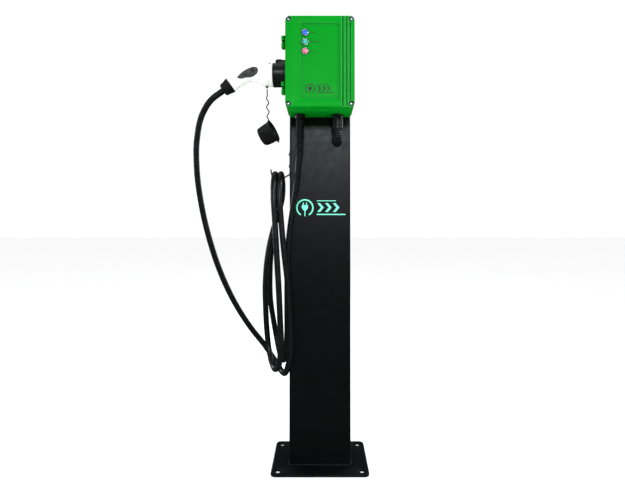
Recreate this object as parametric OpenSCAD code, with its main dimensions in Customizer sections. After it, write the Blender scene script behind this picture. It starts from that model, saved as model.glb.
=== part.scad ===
// Electric car charging post: a sheet-steel column on a bolted base plate, a hinged green charger box,
// a holster for the charging connector, and a charging cable hung in turns over a side hook.
// Millimetres. The origin is the centre of the base plate's underside, +Z is up, the front faces -Y.

/* [Base plate] */
// Width of the base plate, side to side
plate_w = 310; // [280:1:360]
// Depth of the base plate, front to back
plate_d = 200; // [180:1:240]
// Thickness of the base plate
plate_t = 6; // [5:0.5:10]
// Corner radius of the base plate
plate_r = 15; // [5:1:20]
// Diameter of the four floor anchor holes
anchor_d = 16; // [12:1:18]
// Distance of the anchor holes from the plate's edges
anchor_inset = 22; // [18:1:26]
// Width of the supply cable opening in the base plate
entry_w = 150; // [120:1:160]
// Depth of the supply cable opening in the base plate
entry_d = 56; // [40:1:60]

/* [Column] */
// Width of the column
column_w = 200; // [190:1:240]
// Depth of the column, front to back
column_d = 90; // [80:1:108]
// Thickness of the folded sheet
column_wall = 3; // [2:0.5:4]
// Outer radius of the folded edges
column_r = 6; // [4:1:8]
// Height of the column's top edge above the floor
column_top = 1385; // [1320:1:1600]
// Width and height of the weld along the column's foot
weld = 3; // [2:0.5:4]
// Height of the service opening in the back
service_h = 220; // [160:1:240]
// Width of the service opening in the back
service_w = 130; // [100:1:150]

/* [Charger box] */
// Width of the charger box
box_w = 209; // [200:1:250]
// Height of the charger box
box_h = 275; // [260:1:330]
// Depth of the box's back half, from the column to the parting line
base_depth = 85; // [83:1:110]
// Depth of the lid
lid_depth = 35; // [28:1:42]
// Wall thickness of the box
box_wall = 3; // [2.5:0.5:4]
// Thickness of the lid's front wall
lid_front = 5; // [4:0.5:6]
// Outer corner radius of the box
box_r = 15; // [12:1:16]
// Gap between the lid and the box, filled by the gasket
lid_gap = 0.4; // [0.3:0.1:0.8]
// How far the box's top stands above the column's top
box_above = 28; // [20:1:40]
// Width of the recessed panel in the lid
panel_w = 113; // [100:1:116]
// Distance of the recessed panel from the lid's top and bottom edges
panel_margin = 26; // [24:1:40]
// Depth of the recessed panel
panel_sunk = 2.5; // [1:0.5:3]
// Number of flutes along the lid's right side
flutes = 3; // [2:1:4]
// Distance between flutes
flute_pitch = 11.2; // [8:0.1:12]

/* [Lid hinge and screws] */
// Outer radius of the hinge knuckles
knuckle_r = 6; // [5:0.5:7]
// Radius of the hinge pins
pin_r = 2; // [1.5:0.25:2.5]
// Height of each hinge
hinge_h = 36; // [30:1:44]
// Distance of the hinges from the box's middle height
hinge_spread = 71; // [68:1:80]
// How far the lid screws reach into the box
screw_reach = 8; // [6:1:10]
// Radius of the lid screws
screw_r = 2; // [1.5:0.25:2.5]
// Distance of the lid screws from the box's side edges
screw_inset = 10; // [9:0.5:12]

/* [Connector and holster] */
// Inside radius of the holster
holster_r = 33; // [32.5:0.5:34]
// Length of the holster outside the box
holster_l = 44; // [40:1:50]
// Wall thickness of the holster
holster_wall = 4; // [3:0.5:5]
// How far the holster's middle stands below the box's middle height
holster_down = 14; // [8:0.5:20]
// Radius of the connector's nose
nose_r = 30; // [28:0.5:31]
// Wall thickness of the connector's shells
shell_wall = 3; // [2:0.5:3.5]

/* [Cable] */
// Diameter of the charging cable
cable_d = 19; // [16:0.5:19]
// Diameter of the lanyard
lanyard_d = 3.5; // [2.5:0.5:4]
// Diameter of the hook's rod
hook_d = 5; // [4:0.5:5]

/* [Connector cap] */
// Outer radius of the cap at its mouth
cap_r = 34.5; // [34:0.5:36]
// Depth of the cap
cap_l = 48; // [40:1:52]
// Wall thickness of the cap
cap_wall = 3; // [2:0.5:4]

/* [Indicators] */
// Outer radius of the indicator bezels
bezel_r = 10.4; // [9:0.2:12]
// Radius of the indicator lenses
lens_r = 7; // [5:0.5:7.5]
// Distance between indicators
lens_pitch = 28; // [26:1:30]

/* [Hidden] */
$fn = 48;
eps = 0.01;

// Column and box planes
front_y = -column_d / 2;
box_top = column_top + box_above;
box_bottom = box_top - box_h;
box_mid = box_bottom + box_h / 2;
part_y = front_y - base_depth;
lid_back = part_y - lid_gap;
lid_y = lid_back - lid_depth;
panel_y = lid_y + panel_sunk;

// Hinge: its axis lies half a screw's reach behind the parting plane, so that the screws swing clear
hinge_x = -box_w / 2 - knuckle_r - 2;
hinge_y = part_y + screw_reach / 2;
hinge_zs = [box_mid - hinge_spread, box_mid + hinge_spread];
leaf_gap = 0.4;
pin_fit = 0.05;

// Service opening in the column's back, its cover and the cover's screws
rear_z = column_top - 40 - service_h / 2;
cover_lap = 16;
cover_t = 2;
REAR_SPOTS = [for (sx = [-1, 1], sz = [-1, 1])
    [sx * (service_w + cover_lap) / 2, rear_z + sz * (service_h + cover_lap) / 2]];

// Lid screws and their posts
post_r = 8;
recess_r = 8.5;
recess_depth = 5;
head_r = 4.8;
head_h = 3;
screw_x = box_w / 2 - screw_inset;
screw_z = box_h / 2 - screw_inset;
screw_clear = 0.65;
SCREW_SPOTS = [for (sx = [-1, 1], sz = [-1, 1]) [sx * screw_x, box_mid + sz * screw_z]];

// Gasket
gasket_w = 2;
gasket_sunk = 2;

// Box fixing screws, in the box floor
fix_r = 2.5;
fix_head_r = 4.5;
fix_head_h = 2.8;
fix_x = 60;
fix_z = 80;
FIX_SPOTS = [for (sx = [-1, 1], sz = [-1, 1]) [sx * fix_x, box_mid + sz * fix_z]];

// Indicators
lens_x = -44.4;
lens_zs = [for (k = [1, 0, -1]) box_bottom + 196 + k * lens_pitch];
barrel_r = 8;
barrel_l = 18;
bezel_h = 2.5;

// Equipment inside the box
floor_y = front_y - box_wall;
rail_z = box_bottom + 165;
rail_h = 35;
rail_t = 7.5;
rail_y = floor_y - 3;
device_y = rail_y - rail_t;
device_h = 85;
device_depth = 52;
module_w = 17.8;
rcbo_x = -70;
contactor_x = -26;
supply_x = 18;
terminal_x = 60;
lever_r = 5;
lever_pivot_y = device_y - device_depth;
board_w = 150;
board_h = 64;
board_t = 1.6;
board_z = box_bottom + 62;
standoff_h = 8;
board_y = floor_y - standoff_h;
BOARD_SPOTS = [for (sx = [-1, 1], sz = [-1, 1]) [sx * (board_w / 2 - 6), board_z + sz * (board_h / 2 - 6)]];

// Charging cable gland
gland_x = -64;
gland_y = front_y - 35;
gland_thread_r = 12.5;
gland_hex_r = 17;
spiral_z = box_bottom - 14;

// Supply conduit: an elbow from the box's underside into the column
supply_gx = 56;
conduit_r = 16;
conduit_wall = 2.5;
supply_gy = front_y - 33;
elbow_z = box_bottom - 46;
elbow_bottom = elbow_z - 33;
supply_cable_r = 8;

// Hook on the column's left side
hook_plate_t = 3;
HOOK_PATH = [[0, 958], [-20, 946], [-54.5, 946], [-62, 953], [-65, 972]];
HOOK_BOLT_ZS = [985, 1025];
hook_bolt_r = 3;

// Connector ("gun") and its holster, along an axis that points to -X
gun_y = front_y - 43;
gun_z = box_mid - holster_down;
holster_x = -box_w / 2;
mouth_x = holster_x - holster_l;
holster_floor = 4;
nose_gap = 4;
HOLSTER_SPOTS = [for (a = [45 : 90 : 315]) [gun_y + 22 * cos(a), gun_z + 22 * sin(a)]];

// Stations along the connector: distance from the holster's mouth, height from its axis, heading,
// half width across, half height
GUN = [
    [0, 0, 0, 34, 35.2], [12, 0.2, 0, 34.5, 35.5], [26, 1, 0, 34, 35], [38, 2.2, 0, 32, 32.4],
    [50, 3.8, 0, 28.5, 28.4], [62, 4.6, 2, 25.5, 25.2], [74, 3, 9, 23.5, 23], [86, -2, 17, 22, 21.8],
    [98, -7.5, 24, 21.3, 21.2], [110, -14, 29, 21.3, 21.3], [122, -22, 33, 22, 21.8], [135.5, -31.5, 36, 23, 22.4]
];
gun_sides = 28;

// Outline of the grip pads, seen from the front: distance from the mouth and height from the axis
GRIP = [
    [-112, -14], [-107, -17], [-56, -9.5], [-47, -4], [-44, 4.5], [-48, 14.5], [-57, 18.5], [-76, 14.5], [-94, 4.5]
];

// Nose, and its contacts: five power contacts and two signal contacts, with their radii
tip_x = holster_x - holster_floor - nose_gap;
nose_tail = 24;
contact_sunk = 10;
contact_end = 30;
CONTACTS = [
    [0, 0, 3.2], [-17, 0, 3.2], [17, 0, 3.2], [-8.5, -14.5, 3.2], [8.5, -14.5, 3.2], [-8, 13, 2], [8, 13, 2]
];

// Boot
boot_heading = 36;
boot_l = 31;
boot_x = mouth_x - 135.5;
boot_z = gun_z - 31.5;

// Lanyard pivot, under the connector's front end
stud_dx = 20;
pivot_x = mouth_x - stud_dx;
pivot_z = gun_z - 42.5;
LANYARD_END = [4.5, -103];

// Cap: closed end, and the way its mouth faces
cap_back_r = 29;
cap_dx = -18.6;
cap_dz = -155;
cap_tip = [0, 65.3, -13];

// Charging cable: points along its middle, from the gland, in two turns over the hook, to the boot.
// They are laid out for a gland, a boot and a column's left side at the places in ROUTE_FIT.
ROUTE = [
    [-64, -80, 1122], [-64, -80, 1080], [-65, -78, 1040], [-68, -73, 1000], [-72, -66, 950],
    [-78, -60, 900], [-88, -57, 840], [-97, -57, 780], [-104, -57.5, 700], [-106, -58.5, 600],
    [-106, -60, 510], [-106, -61, 430], [-109, -54, 380], [-116, -30, 345], [-127, 4, 332],
    [-140, 38, 345], [-152, 63, 382], [-164, 72, 440], [-176, 71, 520], [-178, 69, 610],
    [-172, 68, 710], [-160.5, 68.5, 800], [-153, 68.5, 880], [-152, 58.5, 922], [-151, 33, 949.5],
    [-151, 0, 958.5], [-151, -33, 949.5], [-151, -58, 922], [-150, -68.5, 880], [-144, -74.5, 790],
    [-137, -82, 680], [-130, -90, 580], [-125, -98, 490], [-122, -102, 410], [-126, -94, 360],
    [-136, -71, 328], [-149, -40, 316], [-162, -9, 328], [-174, 15, 362], [-182, 24, 420],
    [-187, 26, 500], [-188, 26, 590], [-181, 30, 680], [-166, 38, 760], [-146.5, 47, 825],
    [-134, 63.5, 880], [-131, 57.5, 922], [-131.5, 33, 949.5], [-131.5, 0, 958.5], [-131.5, -33, 949.5],
    [-129.5, -58, 922], [-130, -67.5, 880], [-124, -70.5, 790], [-115, -75.5, 700], [-104, -79.5, 610],
    [-98, -81, 510], [-94, -82, 410], [-97, -78, 360], [-106, -62, 320], [-117, -31, 297],
    [-132, 6, 294], [-154, 38, 313], [-190, 52, 360], [-241, 42, 429], [-294, 22, 522], [-339, 0, 632],
    [-371, -20, 746], [-391, -40, 856], [-400, -60, 970], [-395, -74, 1064], [-375, -83, 1140],
    [-345, -88, 1184], [-314, -88, 1208], [-300, -88, 1218]
];
ROUTE_FIT = [[-64, -80, 1138], [-284, -88, 1230], -100];
gland_points = 8;
boot_points = 12;
CABLE = [for (i = [0 : len(ROUTE) - 1])
    let (g = max(0, 1 - i / gland_points), b = max(0, 1 - (len(ROUTE) - 1 - i) / boot_points))
    ROUTE[i] + g * ([gland_x, gland_y, box_bottom] - ROUTE_FIT[0]) + b * ([boot_x, gun_y, boot_z] - ROUTE_FIT[1])
    - (1 - g - b) * [column_w / 2 + ROUTE_FIT[2], 0, 0]];
cable_sides = 10;
long_step = 90;

// ---- Functions -------------------------------------------------------------------------------

function unit(v) = v / norm(v);

// Heading of a smooth curve at point i of a route
function way(p, i) =
    i == 0 ? unit(p[1] - p[0]) :
    i == len(p) - 1 ? unit(p[i] - p[i - 1]) :
    let (a = norm(p[i] - p[i - 1]), b = norm(p[i + 1] - p[i]))
    unit((p[i] - p[i - 1]) / a * b + (p[i + 1] - p[i]) / b * a);

// Point between route points i and i + 1, at share t of the way
function between(p, i, t) =
    let (h = norm(p[i + 1] - p[i]), s = t * t, c = t * t * t)
    (2 * c - 3 * s + 1) * p[i] + (c - 2 * s + t) * h * way(p, i)
    + (3 * s - 2 * c) * p[i + 1] + (c - s) * h * way(p, i + 1);

// A route with one more point in the middle of each long step
function smoothed(p) = concat(
    [for (i = [0 : len(p) - 2]) each norm(p[i + 1] - p[i]) < long_step ? [p[i]] : [p[i], between(p, i, 0.5)]],
    [p[len(p) - 1]]);

// Circle of radius r around point i of a route, square to the route
function ring(p, i, r, sides) =
    let (t = way(p, i), u = unit(cross(t, [1, 0, 0])), v = cross(t, u))
    [for (k = [0 : sides - 1]) p[i] + r * (cos(k * 360 / sides) * u + sin(k * 360 / sides) * v)];

// Section of the connector at one station, grown by g all round
function gun_section(s, g) = [for (k = [0 : gun_sides - 1])
    let (a = k * 360 / gun_sides, up = (s[4] + g) * cos(a))
    [mouth_x - s[0] - up * sin(s[2]), gun_y + (s[3] + g) * sin(a), gun_z + s[1] + up * cos(s[2])]];

// ---- Shared shapes ---------------------------------------------------------------------------

// Solid through a list of rings that have equally many points
module skin(rings) {
    n = len(rings[0]);
    m = len(rings);
    polyhedron(
        points = [for (r = rings) each r],
        faces = concat(
            [[for (k = [0 : n - 1]) k]],
            [for (j = [0 : m - 2], k = [0 : n - 1]) each [
                [j * n + k, (j + 1) * n + (k + 1) % n, j * n + (k + 1) % n],
                [j * n + k, (j + 1) * n + k, (j + 1) * n + (k + 1) % n]]],
            [[for (k = [n - 1 : -1 : 0]) (m - 1) * n + k]]));
}

module tube_along(p, r, sides) {
    skin([for (i = [0 : len(p) - 1]) ring(p, i, r, sides)]);
}

module rounded(w, h, r) {
    square([w - 2 * r, h], center = true);
    square([w, h - 2 * r], center = true);
    for (sx = [-1, 1], sy = [-1, 1]) translate([sx * (w / 2 - r), sy * (h / 2 - r)]) circle(r);
}

// Extrudes a front-view outline from plane y towards the front
module towards_front(y, depth) {
    translate([0, y, 0]) rotate([90, 0, 0]) linear_extrude(depth) children();
}

// Cylinder from plane y towards the front
module front_cylinder(x, y, z, r, depth, sides = 48) {
    translate([x, y, z]) rotate([90, 0, 0]) cylinder(r = r, h = depth, $fn = sides);
}

// Cylinder that points to the left side
module left_cylinder(x, y, z, r, length) {
    translate([x, y, z]) rotate([0, -90, 0]) cylinder(r = r, h = length);
}

module screw_head(x, y, z, r, h) {
    difference() {
        front_cylinder(x, y, z, r, h);
        front_cylinder(x, y - h + 1.5, z, r * 0.5, 2, 6);
    }
}

// Rod through points on one upright plane, with ball corners and, if asked, a ball at its tip
module rod(points, r, tip = false) {
    for (i = [0 : len(points) - 2]) {
        a = points[i];
        d = points[i + 1] - a;
        translate(a) rotate([0, acos(d[2] / norm(d)), atan2(d[1], d[0])]) cylinder(r = r, h = norm(d));
        if (i > 0) translate(a) sphere(r);
    }
    if (tip) translate(points[len(points) - 1]) sphere(r);
}

// ---- Column and foot -------------------------------------------------------------------------

module base_plate() {
    color("#15171a") difference() {
        linear_extrude(plate_t) rounded(plate_w, plate_d, plate_r);
        for (sx = [-1, 1], sy = [-1, 1])
            translate([sx * (plate_w / 2 - anchor_inset), sy * (plate_d / 2 - anchor_inset), -1])
                cylinder(d = anchor_d, h = plate_t + 2);
        translate([0, 0, -1]) linear_extrude(plate_t + 2) rounded(entry_w, entry_d, 8);
    }
}

module column() {
    color("#1b1d20") difference() {
        translate([0, 0, plate_t]) linear_extrude(column_top - plate_t) rounded(column_w, column_d, column_r);
        translate([0, 0, plate_t - 1]) linear_extrude(column_top - plate_t + 2)
            rounded(column_w - 2 * column_wall, column_d - 2 * column_wall, column_r - column_wall + 1);
        for (s = FIX_SPOTS) front_cylinder(s[0], front_y + column_wall + 1, s[1], fix_r + 0.1, column_wall + 2);
        front_cylinder(supply_gx, front_y + column_wall + 1, elbow_bottom, conduit_r + 0.3, column_wall + 2);
        translate([0, -front_y + 1, rear_z]) rotate([90, 0, 0]) linear_extrude(column_wall + 2)
            rounded(service_w, service_h, 8);
        for (s = REAR_SPOTS) front_cylinder(s[0], -front_y + 1, s[1], fix_r + 0.1, column_wall + 2);
        for (z = HOOK_BOLT_ZS) left_cylinder(-column_w / 2 + column_wall + 1, 0, z, hook_bolt_r + 0.1, column_wall + 2);
    }
}

// Fillet weld around the column's foot
module weld_bead() {
    color("#101214") translate([0, 0, plate_t]) difference() {
        linear_extrude(weld) rounded(column_w + 2 * weld, column_d + 2 * weld, column_r + weld);
        translate([0, 0, -1]) linear_extrude(weld + 2) rounded(column_w, column_d, column_r);
    }
}

module column_cap() {
    lip = 12;
    wall_gap = 0.3;
    color("#131416") {
        translate([0, 0, column_top]) linear_extrude(3) rounded(column_w, column_d, column_r);
        translate([0, 0, column_top - lip]) linear_extrude(lip + eps) difference() {
            rounded(column_w - 2 * (column_wall + wall_gap), column_d - 2 * (column_wall + wall_gap), 4);
            rounded(column_w - 2 * (column_wall + 3), column_d - 2 * (column_wall + 3), 2);
        }
    }
}

module rear_cover() {
    color("#17191c") difference() {
        translate([0, -front_y + cover_t, rear_z]) rotate([90, 0, 0]) linear_extrude(cover_t)
            rounded(service_w + 2 * cover_lap, service_h + 2 * cover_lap, 6);
        for (s = REAR_SPOTS) front_cylinder(s[0], -front_y + cover_t + 1, s[1], fix_r + 0.1, cover_t + 2);
    }
}

module rear_cover_screws() {
    color("silver") for (s = REAR_SPOTS) {
        front_cylinder(s[0], -front_y + 2, s[1], fix_r, 8);
        translate([s[0], -front_y + 2, s[1]]) rotate([-90, 0, 0]) difference() {
            cylinder(r = fix_head_r, h = fix_head_h);
            translate([0, 0, 1.4]) cylinder(r = 1.8, h = 2, $fn = 6);
        }
    }
}

// ---- Hook ------------------------------------------------------------------------------------

module cable_hook() {
    x = -column_w / 2;
    bottom = 945;
    top = 1038;
    color("#1a1b1d") {
        difference() {
            translate([x - hook_plate_t, -15, bottom]) cube([hook_plate_t, 30, top - bottom]);
            for (z = HOOK_BOLT_ZS) left_cylinder(x + 1, 0, z, hook_bolt_r + 0.1, hook_plate_t + 2);
        }
        rod([for (p = HOOK_PATH) [x - hook_plate_t / 2 + p[0], 0, p[1]]], hook_d / 2, tip = true);
    }
}

module hook_bolts() {
    x = -column_w / 2 - hook_plate_t;
    color("#2a2b2d") for (z = HOOK_BOLT_ZS) {
        left_cylinder(x + hook_plate_t + column_wall + 5, 0, z, hook_bolt_r, hook_plate_t + column_wall + 5);
        difference() {
            left_cylinder(x, 0, z, 5.2, 3.2);
            translate([x - 1.8, 0, z]) rotate([0, -90, 0]) cylinder(r = 2.3, h = 2, $fn = 6);
        }
    }
}

// ---- Charger box -----------------------------------------------------------------------------

module box_outline(shrink = 0) {
    translate([0, box_mid]) rounded(box_w - 2 * shrink, box_h - 2 * shrink, box_r - shrink);
}

// One hinge leaf: a knuckle between two heights, with an arm to the wall that it belongs to
module leaf(z0, z1, arm_y0, arm_y1) {
    wall_x = -box_w / 2;
    translate([hinge_x, hinge_y, z0]) cylinder(r = knuckle_r, h = z1 - z0);
    translate([hinge_x, arm_y0, z0]) cube([wall_x - hinge_x + 1, arm_y1 - arm_y0, z1 - z0]);
}

module hinge_bores() {
    for (z = hinge_zs) translate([hinge_x, hinge_y, z - hinge_h]) cylinder(r = pin_r + pin_fit, h = 2 * hinge_h);
}

module box_base() {
    color("#00a02b") difference() {
        union() {
            difference() {
                towards_front(front_y, base_depth) box_outline();
                towards_front(floor_y, base_depth) box_outline(box_wall);
            }
            intersection() {
                for (s = SCREW_SPOTS) front_cylinder(s[0], front_y - 1, s[1], post_r, base_depth - 1);
                towards_front(front_y, base_depth) box_outline(1);
            }
            for (z = hinge_zs) leaf(z - hinge_h / 6 + leaf_gap, z + hinge_h / 6 - leaf_gap, hinge_y, hinge_y + 12);
        }
        for (s = SCREW_SPOTS) front_cylinder(s[0], part_y + screw_reach + 6, s[1], screw_r + screw_clear, 30);
        towards_front(part_y + gasket_sunk, 10) difference() {
            box_outline(gasket_w / 2);
            box_outline(gasket_w * 1.25);
            for (s = SCREW_SPOTS) translate(s) circle(screw_r + screw_clear + 1.2);
        }
        for (s = FIX_SPOTS) front_cylinder(s[0], front_y + 1, s[1], fix_r + 0.1, box_wall + 2);
        translate([gland_x, gland_y, box_bottom - 1]) cylinder(r = gland_thread_r + 0.1, h = box_wall + 2);
        translate([supply_gx, supply_gy, box_bottom - 1]) cylinder(r = gland_thread_r + 0.1, h = box_wall + 2);
        left_cylinder(holster_x + box_wall + 1, gun_y, gun_z, 12, box_wall + 2);
        for (s = HOLSTER_SPOTS) left_cylinder(holster_x + box_wall + 1, s[0], s[1], screw_r + 0.1, box_wall + 2);
        hinge_bores();
    }
}

module box_lid() {
    color("#00ad30") difference() {
        union() {
            difference() {
                towards_front(lid_back, lid_depth) box_outline();
                towards_front(lid_back + 1, lid_depth - lid_front + 1) box_outline(box_wall);
            }
            intersection() {
                for (s = SCREW_SPOTS) front_cylinder(s[0], lid_back, s[1], post_r + 1, lid_depth - 1);
                towards_front(lid_back, lid_depth) box_outline(1);
            }
            for (z = hinge_zs) {
                leaf(z - hinge_h / 2, z - hinge_h / 6, lid_back - 9, hinge_y - 6.5);
                leaf(z + hinge_h / 6, z + hinge_h / 2, lid_back - 9, hinge_y - 6.5);
                for (e = [-1, 1]) translate([hinge_x - knuckle_r, lid_back - 9, z + e * hinge_h / 3 - hinge_h / 6])
                    cube([2 * knuckle_r, hinge_y - lid_back + 9, hinge_h / 3]);
            }
        }
        for (s = SCREW_SPOTS) {
            front_cylinder(s[0], lid_back + 1, s[1], screw_r + screw_clear, lid_depth + 2);
            front_cylinder(s[0], lid_y + recess_depth, s[1], recess_r, recess_depth + 1);
        }
        towards_front(panel_y, panel_sunk + 1) translate([0, box_mid])
            rounded(panel_w, box_h - 2 * panel_margin, 4);
        for (k = [0 : flutes - 1])
            translate([box_w / 2 - 36 + k * flute_pitch, lid_y - 1.2, box_bottom - 1]) cylinder(r = 3.6, h = box_h + 2);
        for (z = lens_zs) front_cylinder(lens_x, lid_back, z, barrel_r + 0.1, lid_depth + 1);
        hinge_bores();
    }
}

module lid_gasket() {
    color("#202020") towards_front(part_y + gasket_sunk, gasket_sunk + lid_gap) difference() {
        box_outline(gasket_w / 2 + 0.1);
        box_outline(gasket_w * 1.25 - 0.1);
        for (s = SCREW_SPOTS) translate(s) circle(screw_r + screw_clear + 1.3);
    }
}

module hinge_pins() {
    color("silver") for (z = hinge_zs)
        translate([hinge_x, hinge_y, z - hinge_h / 2]) cylinder(r = pin_r, h = hinge_h);
}

module lid_screws() {
    color("#c9ced2") for (s = SCREW_SPOTS) {
        screw_head(s[0], lid_y + recess_depth, s[1], head_r, head_h);
        front_cylinder(s[0], part_y + screw_reach, s[1], screw_r, lid_depth + screw_reach + lid_gap - recess_depth);
    }
}

module box_mount_screws() {
    color("silver") for (s = FIX_SPOTS) {
        screw_head(s[0], floor_y, s[1], fix_head_r, fix_head_h);
        front_cylinder(s[0], front_y + column_wall + 6, s[1], fix_r, column_wall + 6 + box_wall);
    }
}

// ---- Indicators ------------------------------------------------------------------------------

module indicator_bezels() {
    color("#d8d6da") for (z = lens_zs) difference() {
        union() {
            front_cylinder(lens_x, panel_y, z, bezel_r, bezel_h);
            front_cylinder(lens_x, panel_y + barrel_l, z, barrel_r, barrel_l);
        }
        front_cylinder(lens_x, panel_y + 1, z, lens_r, bezel_h + 2);
    }
}

// Domed lens that sits in the bezel's seat
module lens(k) {
    dome_r = 14;
    rise = 2.2;
    translate([lens_x, panel_y, lens_zs[k]]) rotate([90, 0, 0]) {
        translate([0, 0, -1]) cylinder(r = lens_r, h = bezel_h + 0.5);
        intersection() {
            translate([0, 0, bezel_h - dome_r + rise]) sphere(dome_r);
            cylinder(r = lens_r, h = bezel_h + rise);
        }
    }
}

module lens_blue() { color("#2a5cff") lens(0); }
module lens_green() { color("#18a08c") lens(1); }
module lens_red() { color("#e0506a") lens(2); }

module indicator_nuts() {
    color("#b8b8b8") for (z = lens_zs) difference() {
        front_cylinder(lens_x, lid_y + lid_front + 5, z, 11, 5, 6);
        front_cylinder(lens_x, lid_y + lid_front + 6, z, barrel_r, 8);
    }
}

// ---- Equipment inside the box ----------------------------------------------------------------

module din_rail() {
    rail_l = 186;
    color("#b9bec4") translate([-rail_l / 2, rail_y, rail_z]) rotate([90, 0, 90]) linear_extrude(rail_l) {
        translate([-1, -12.5]) square([4, 25]);
        for (s = [-1, 1]) {
            translate([-rail_t, s > 0 ? 11.5 : -12.5]) square([rail_t, 1]);
            translate([-rail_t, s > 0 ? 11.5 : -rail_h / 2]) square([1, rail_h / 2 - 11.5]);
        }
    }
}

// Front profile of a rail device: a low shoulder above and below a raised middle
module device(x, modules, colour) {
    w = modules * module_w;
    nose_h = 45;
    shoulder = device_depth - 10;
    color(colour) translate([x - w / 2, device_y, rail_z]) rotate([90, 0, 90]) linear_extrude(w)
        polygon([[0, -device_h / 2], [0, device_h / 2], [-shoulder, device_h / 2], [-shoulder, nose_h / 2],
            [-device_depth, nose_h / 2], [-device_depth, -nose_h / 2], [-shoulder, -nose_h / 2], [-shoulder, -device_h / 2]]);
}

module rcbo_body() {
    difference() {
        device(rcbo_x, 2, "#e8e8e4");
        translate([rcbo_x - 5, lever_pivot_y - 1, rail_z - 12]) cube([10, 9, 24]);
    }
}

// Breaker toggle on a cross pin, up at rest
module rcbo_lever() {
    color("#2b4fa8") {
        translate([rcbo_x - 4.6, lever_pivot_y + 3, rail_z]) rotate([0, 90, 0]) cylinder(r = lever_r - 1, h = 9.2);
        translate([rcbo_x - 4, lever_pivot_y + 3, rail_z]) rotate([-45, 0, 0]) translate([0, -12, -2]) cube([8, 12, 4]);
    }
}

module contactor() { device(contactor_x, 2, "#dcdcd8"); }
module power_supply() { device(supply_x, 2, "#cfd3d6"); }

module terminal_block() {
    color("#8d9397") for (k = [0 : 4]) difference() {
        translate([terminal_x - 15 + k * 6.4, device_y - 38, rail_z - 24]) cube([6, 38, 48]);
        for (s = [-1, 1]) front_cylinder(terminal_x - 12 + k * 6.4, device_y - 30, rail_z + s * 14, 2, 12);
    }
}

module earth_bar() {
    color("#c9a441") translate([-40, floor_y - 9, box_bottom + 105]) difference() {
        cube([80, 9, 8]);
        for (k = [0 : 7]) translate([5 + k * 10, 6, 4]) rotate([90, 0, 0]) cylinder(r = 2, h = 10);
    }
}

module controller_board() {
    color("#0e5f38") difference() {
        towards_front(board_y, board_t) translate([0, board_z]) rounded(board_w, board_h, 3);
        for (s = BOARD_SPOTS) front_cylinder(s[0], board_y + 1, s[1], 1.6, board_t + 2);
    }
}

module board_standoffs() {
    color("#c8b26a") for (s = BOARD_SPOTS) {
        front_cylinder(s[0], floor_y, s[1], 3, standoff_h, 6);
        front_cylinder(s[0], board_y, s[1], 1.5, board_t + 1);
        front_cylinder(s[0], board_y - board_t, s[1], 2.8, 1.6);
    }
}

module board_parts() {
    y = board_y - board_t;
    relay = [19, 15.5, 15];
    color("#26282b") {
        for (k = [0 : 2]) translate([-62 + k * 24, y - relay[1], board_z + 8]) cube(relay);
        translate([12, y - 3, board_z - 8]) cube([22, 3, 22]);
        for (k = [0 : 1]) front_cylinder(50 + k * 14, y, board_z + 12, 5, 14);
        for (k = [0 : 7]) translate([-52 + k * 12, y - 10, board_z - 26]) cube([11, 10, 9]);
    }
}

// Cores between the rail devices, the terminals and the board
module internal_wires() {
    y = device_y - 20;
    top = rail_z + device_h / 2;
    for (k = [0 : 3]) {
        x0 = rcbo_x - 12 + k * 8;
        x1 = contactor_x - 12 + k * 8;
        z = top + 9 + k * 5;
        color(["#7a4a22", "#222222", "#8a8a8a", "#2f62c8"][k])
            rod([[x0, y, top], [x0, y, z], [x1, y, z], [x1, y, top]], 1.6);
    }
}

// ---- Glands and conduit ----------------------------------------------------------------------

module gland(x, y) {
    translate([x, y, box_bottom]) {
        translate([0, 0, -6]) cylinder(r = gland_hex_r, h = 6, $fn = 6);
        cylinder(r = gland_thread_r, h = 14);
        translate([0, 0, -14]) cylinder(r1 = 14, r2 = 15.5, h = 8 + eps);
    }
}

module locknut(x, y) {
    difference() {
        translate([x, y, box_bottom + box_wall]) cylinder(r = 17.5, h = 6, $fn = 6);
        translate([x, y, box_bottom]) cylinder(r = gland_thread_r, h = 20);
    }
}

module cable_gland() {
    color("#26272a") difference() {
        gland(gland_x, gland_y);
        translate([gland_x, gland_y, box_bottom - 20]) cylinder(d = cable_d + 0.6, h = 60);
    }
}

module gland_locknut() { color("#26272a") locknut(gland_x, gland_y); }

// Bend protection: a sleeve that follows the cable out of its gland and narrows downwards
module bend_spiral() {
    lead = [for (i = [0 : 3], t = [0, 0.5]) between(CABLE, i, t)];
    path = [for (p = lead) if (p[2] < spiral_z && p[2] > 975) p];
    n = len(path) - 1;
    start = [gland_x, gland_y, spiral_z];
    along = concat([start], path);
    color("#1d1e20") difference() {
        skin([for (i = [0 : n + 1]) ring(along, i, cable_d / 2 + 3.6 - 1.7 * i / n, 16)]);
        skin([for (i = [0 : n + 1]) ring([for (j = [0 : n + 1]) along[j] + (j == 0 ? [0, 0, 1] : j > n ? [0, 0, -1] : [0, 0, 0])],
            i, cable_d / 2 + 0.5, 16)]);
    }
}

module supply_gland() {
    color("#26272a") difference() {
        union() {
            gland(supply_gx, supply_gy);
            translate([supply_gx, supply_gy, elbow_z]) cylinder(r = conduit_r + 2, h = box_bottom - elbow_z - 14);
        }
        translate([supply_gx, supply_gy, elbow_z - 1]) cylinder(r = supply_cable_r + 0.5, h = 80);
    }
}

module supply_locknut() { color("#26272a") locknut(supply_gx, supply_gy); }

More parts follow.
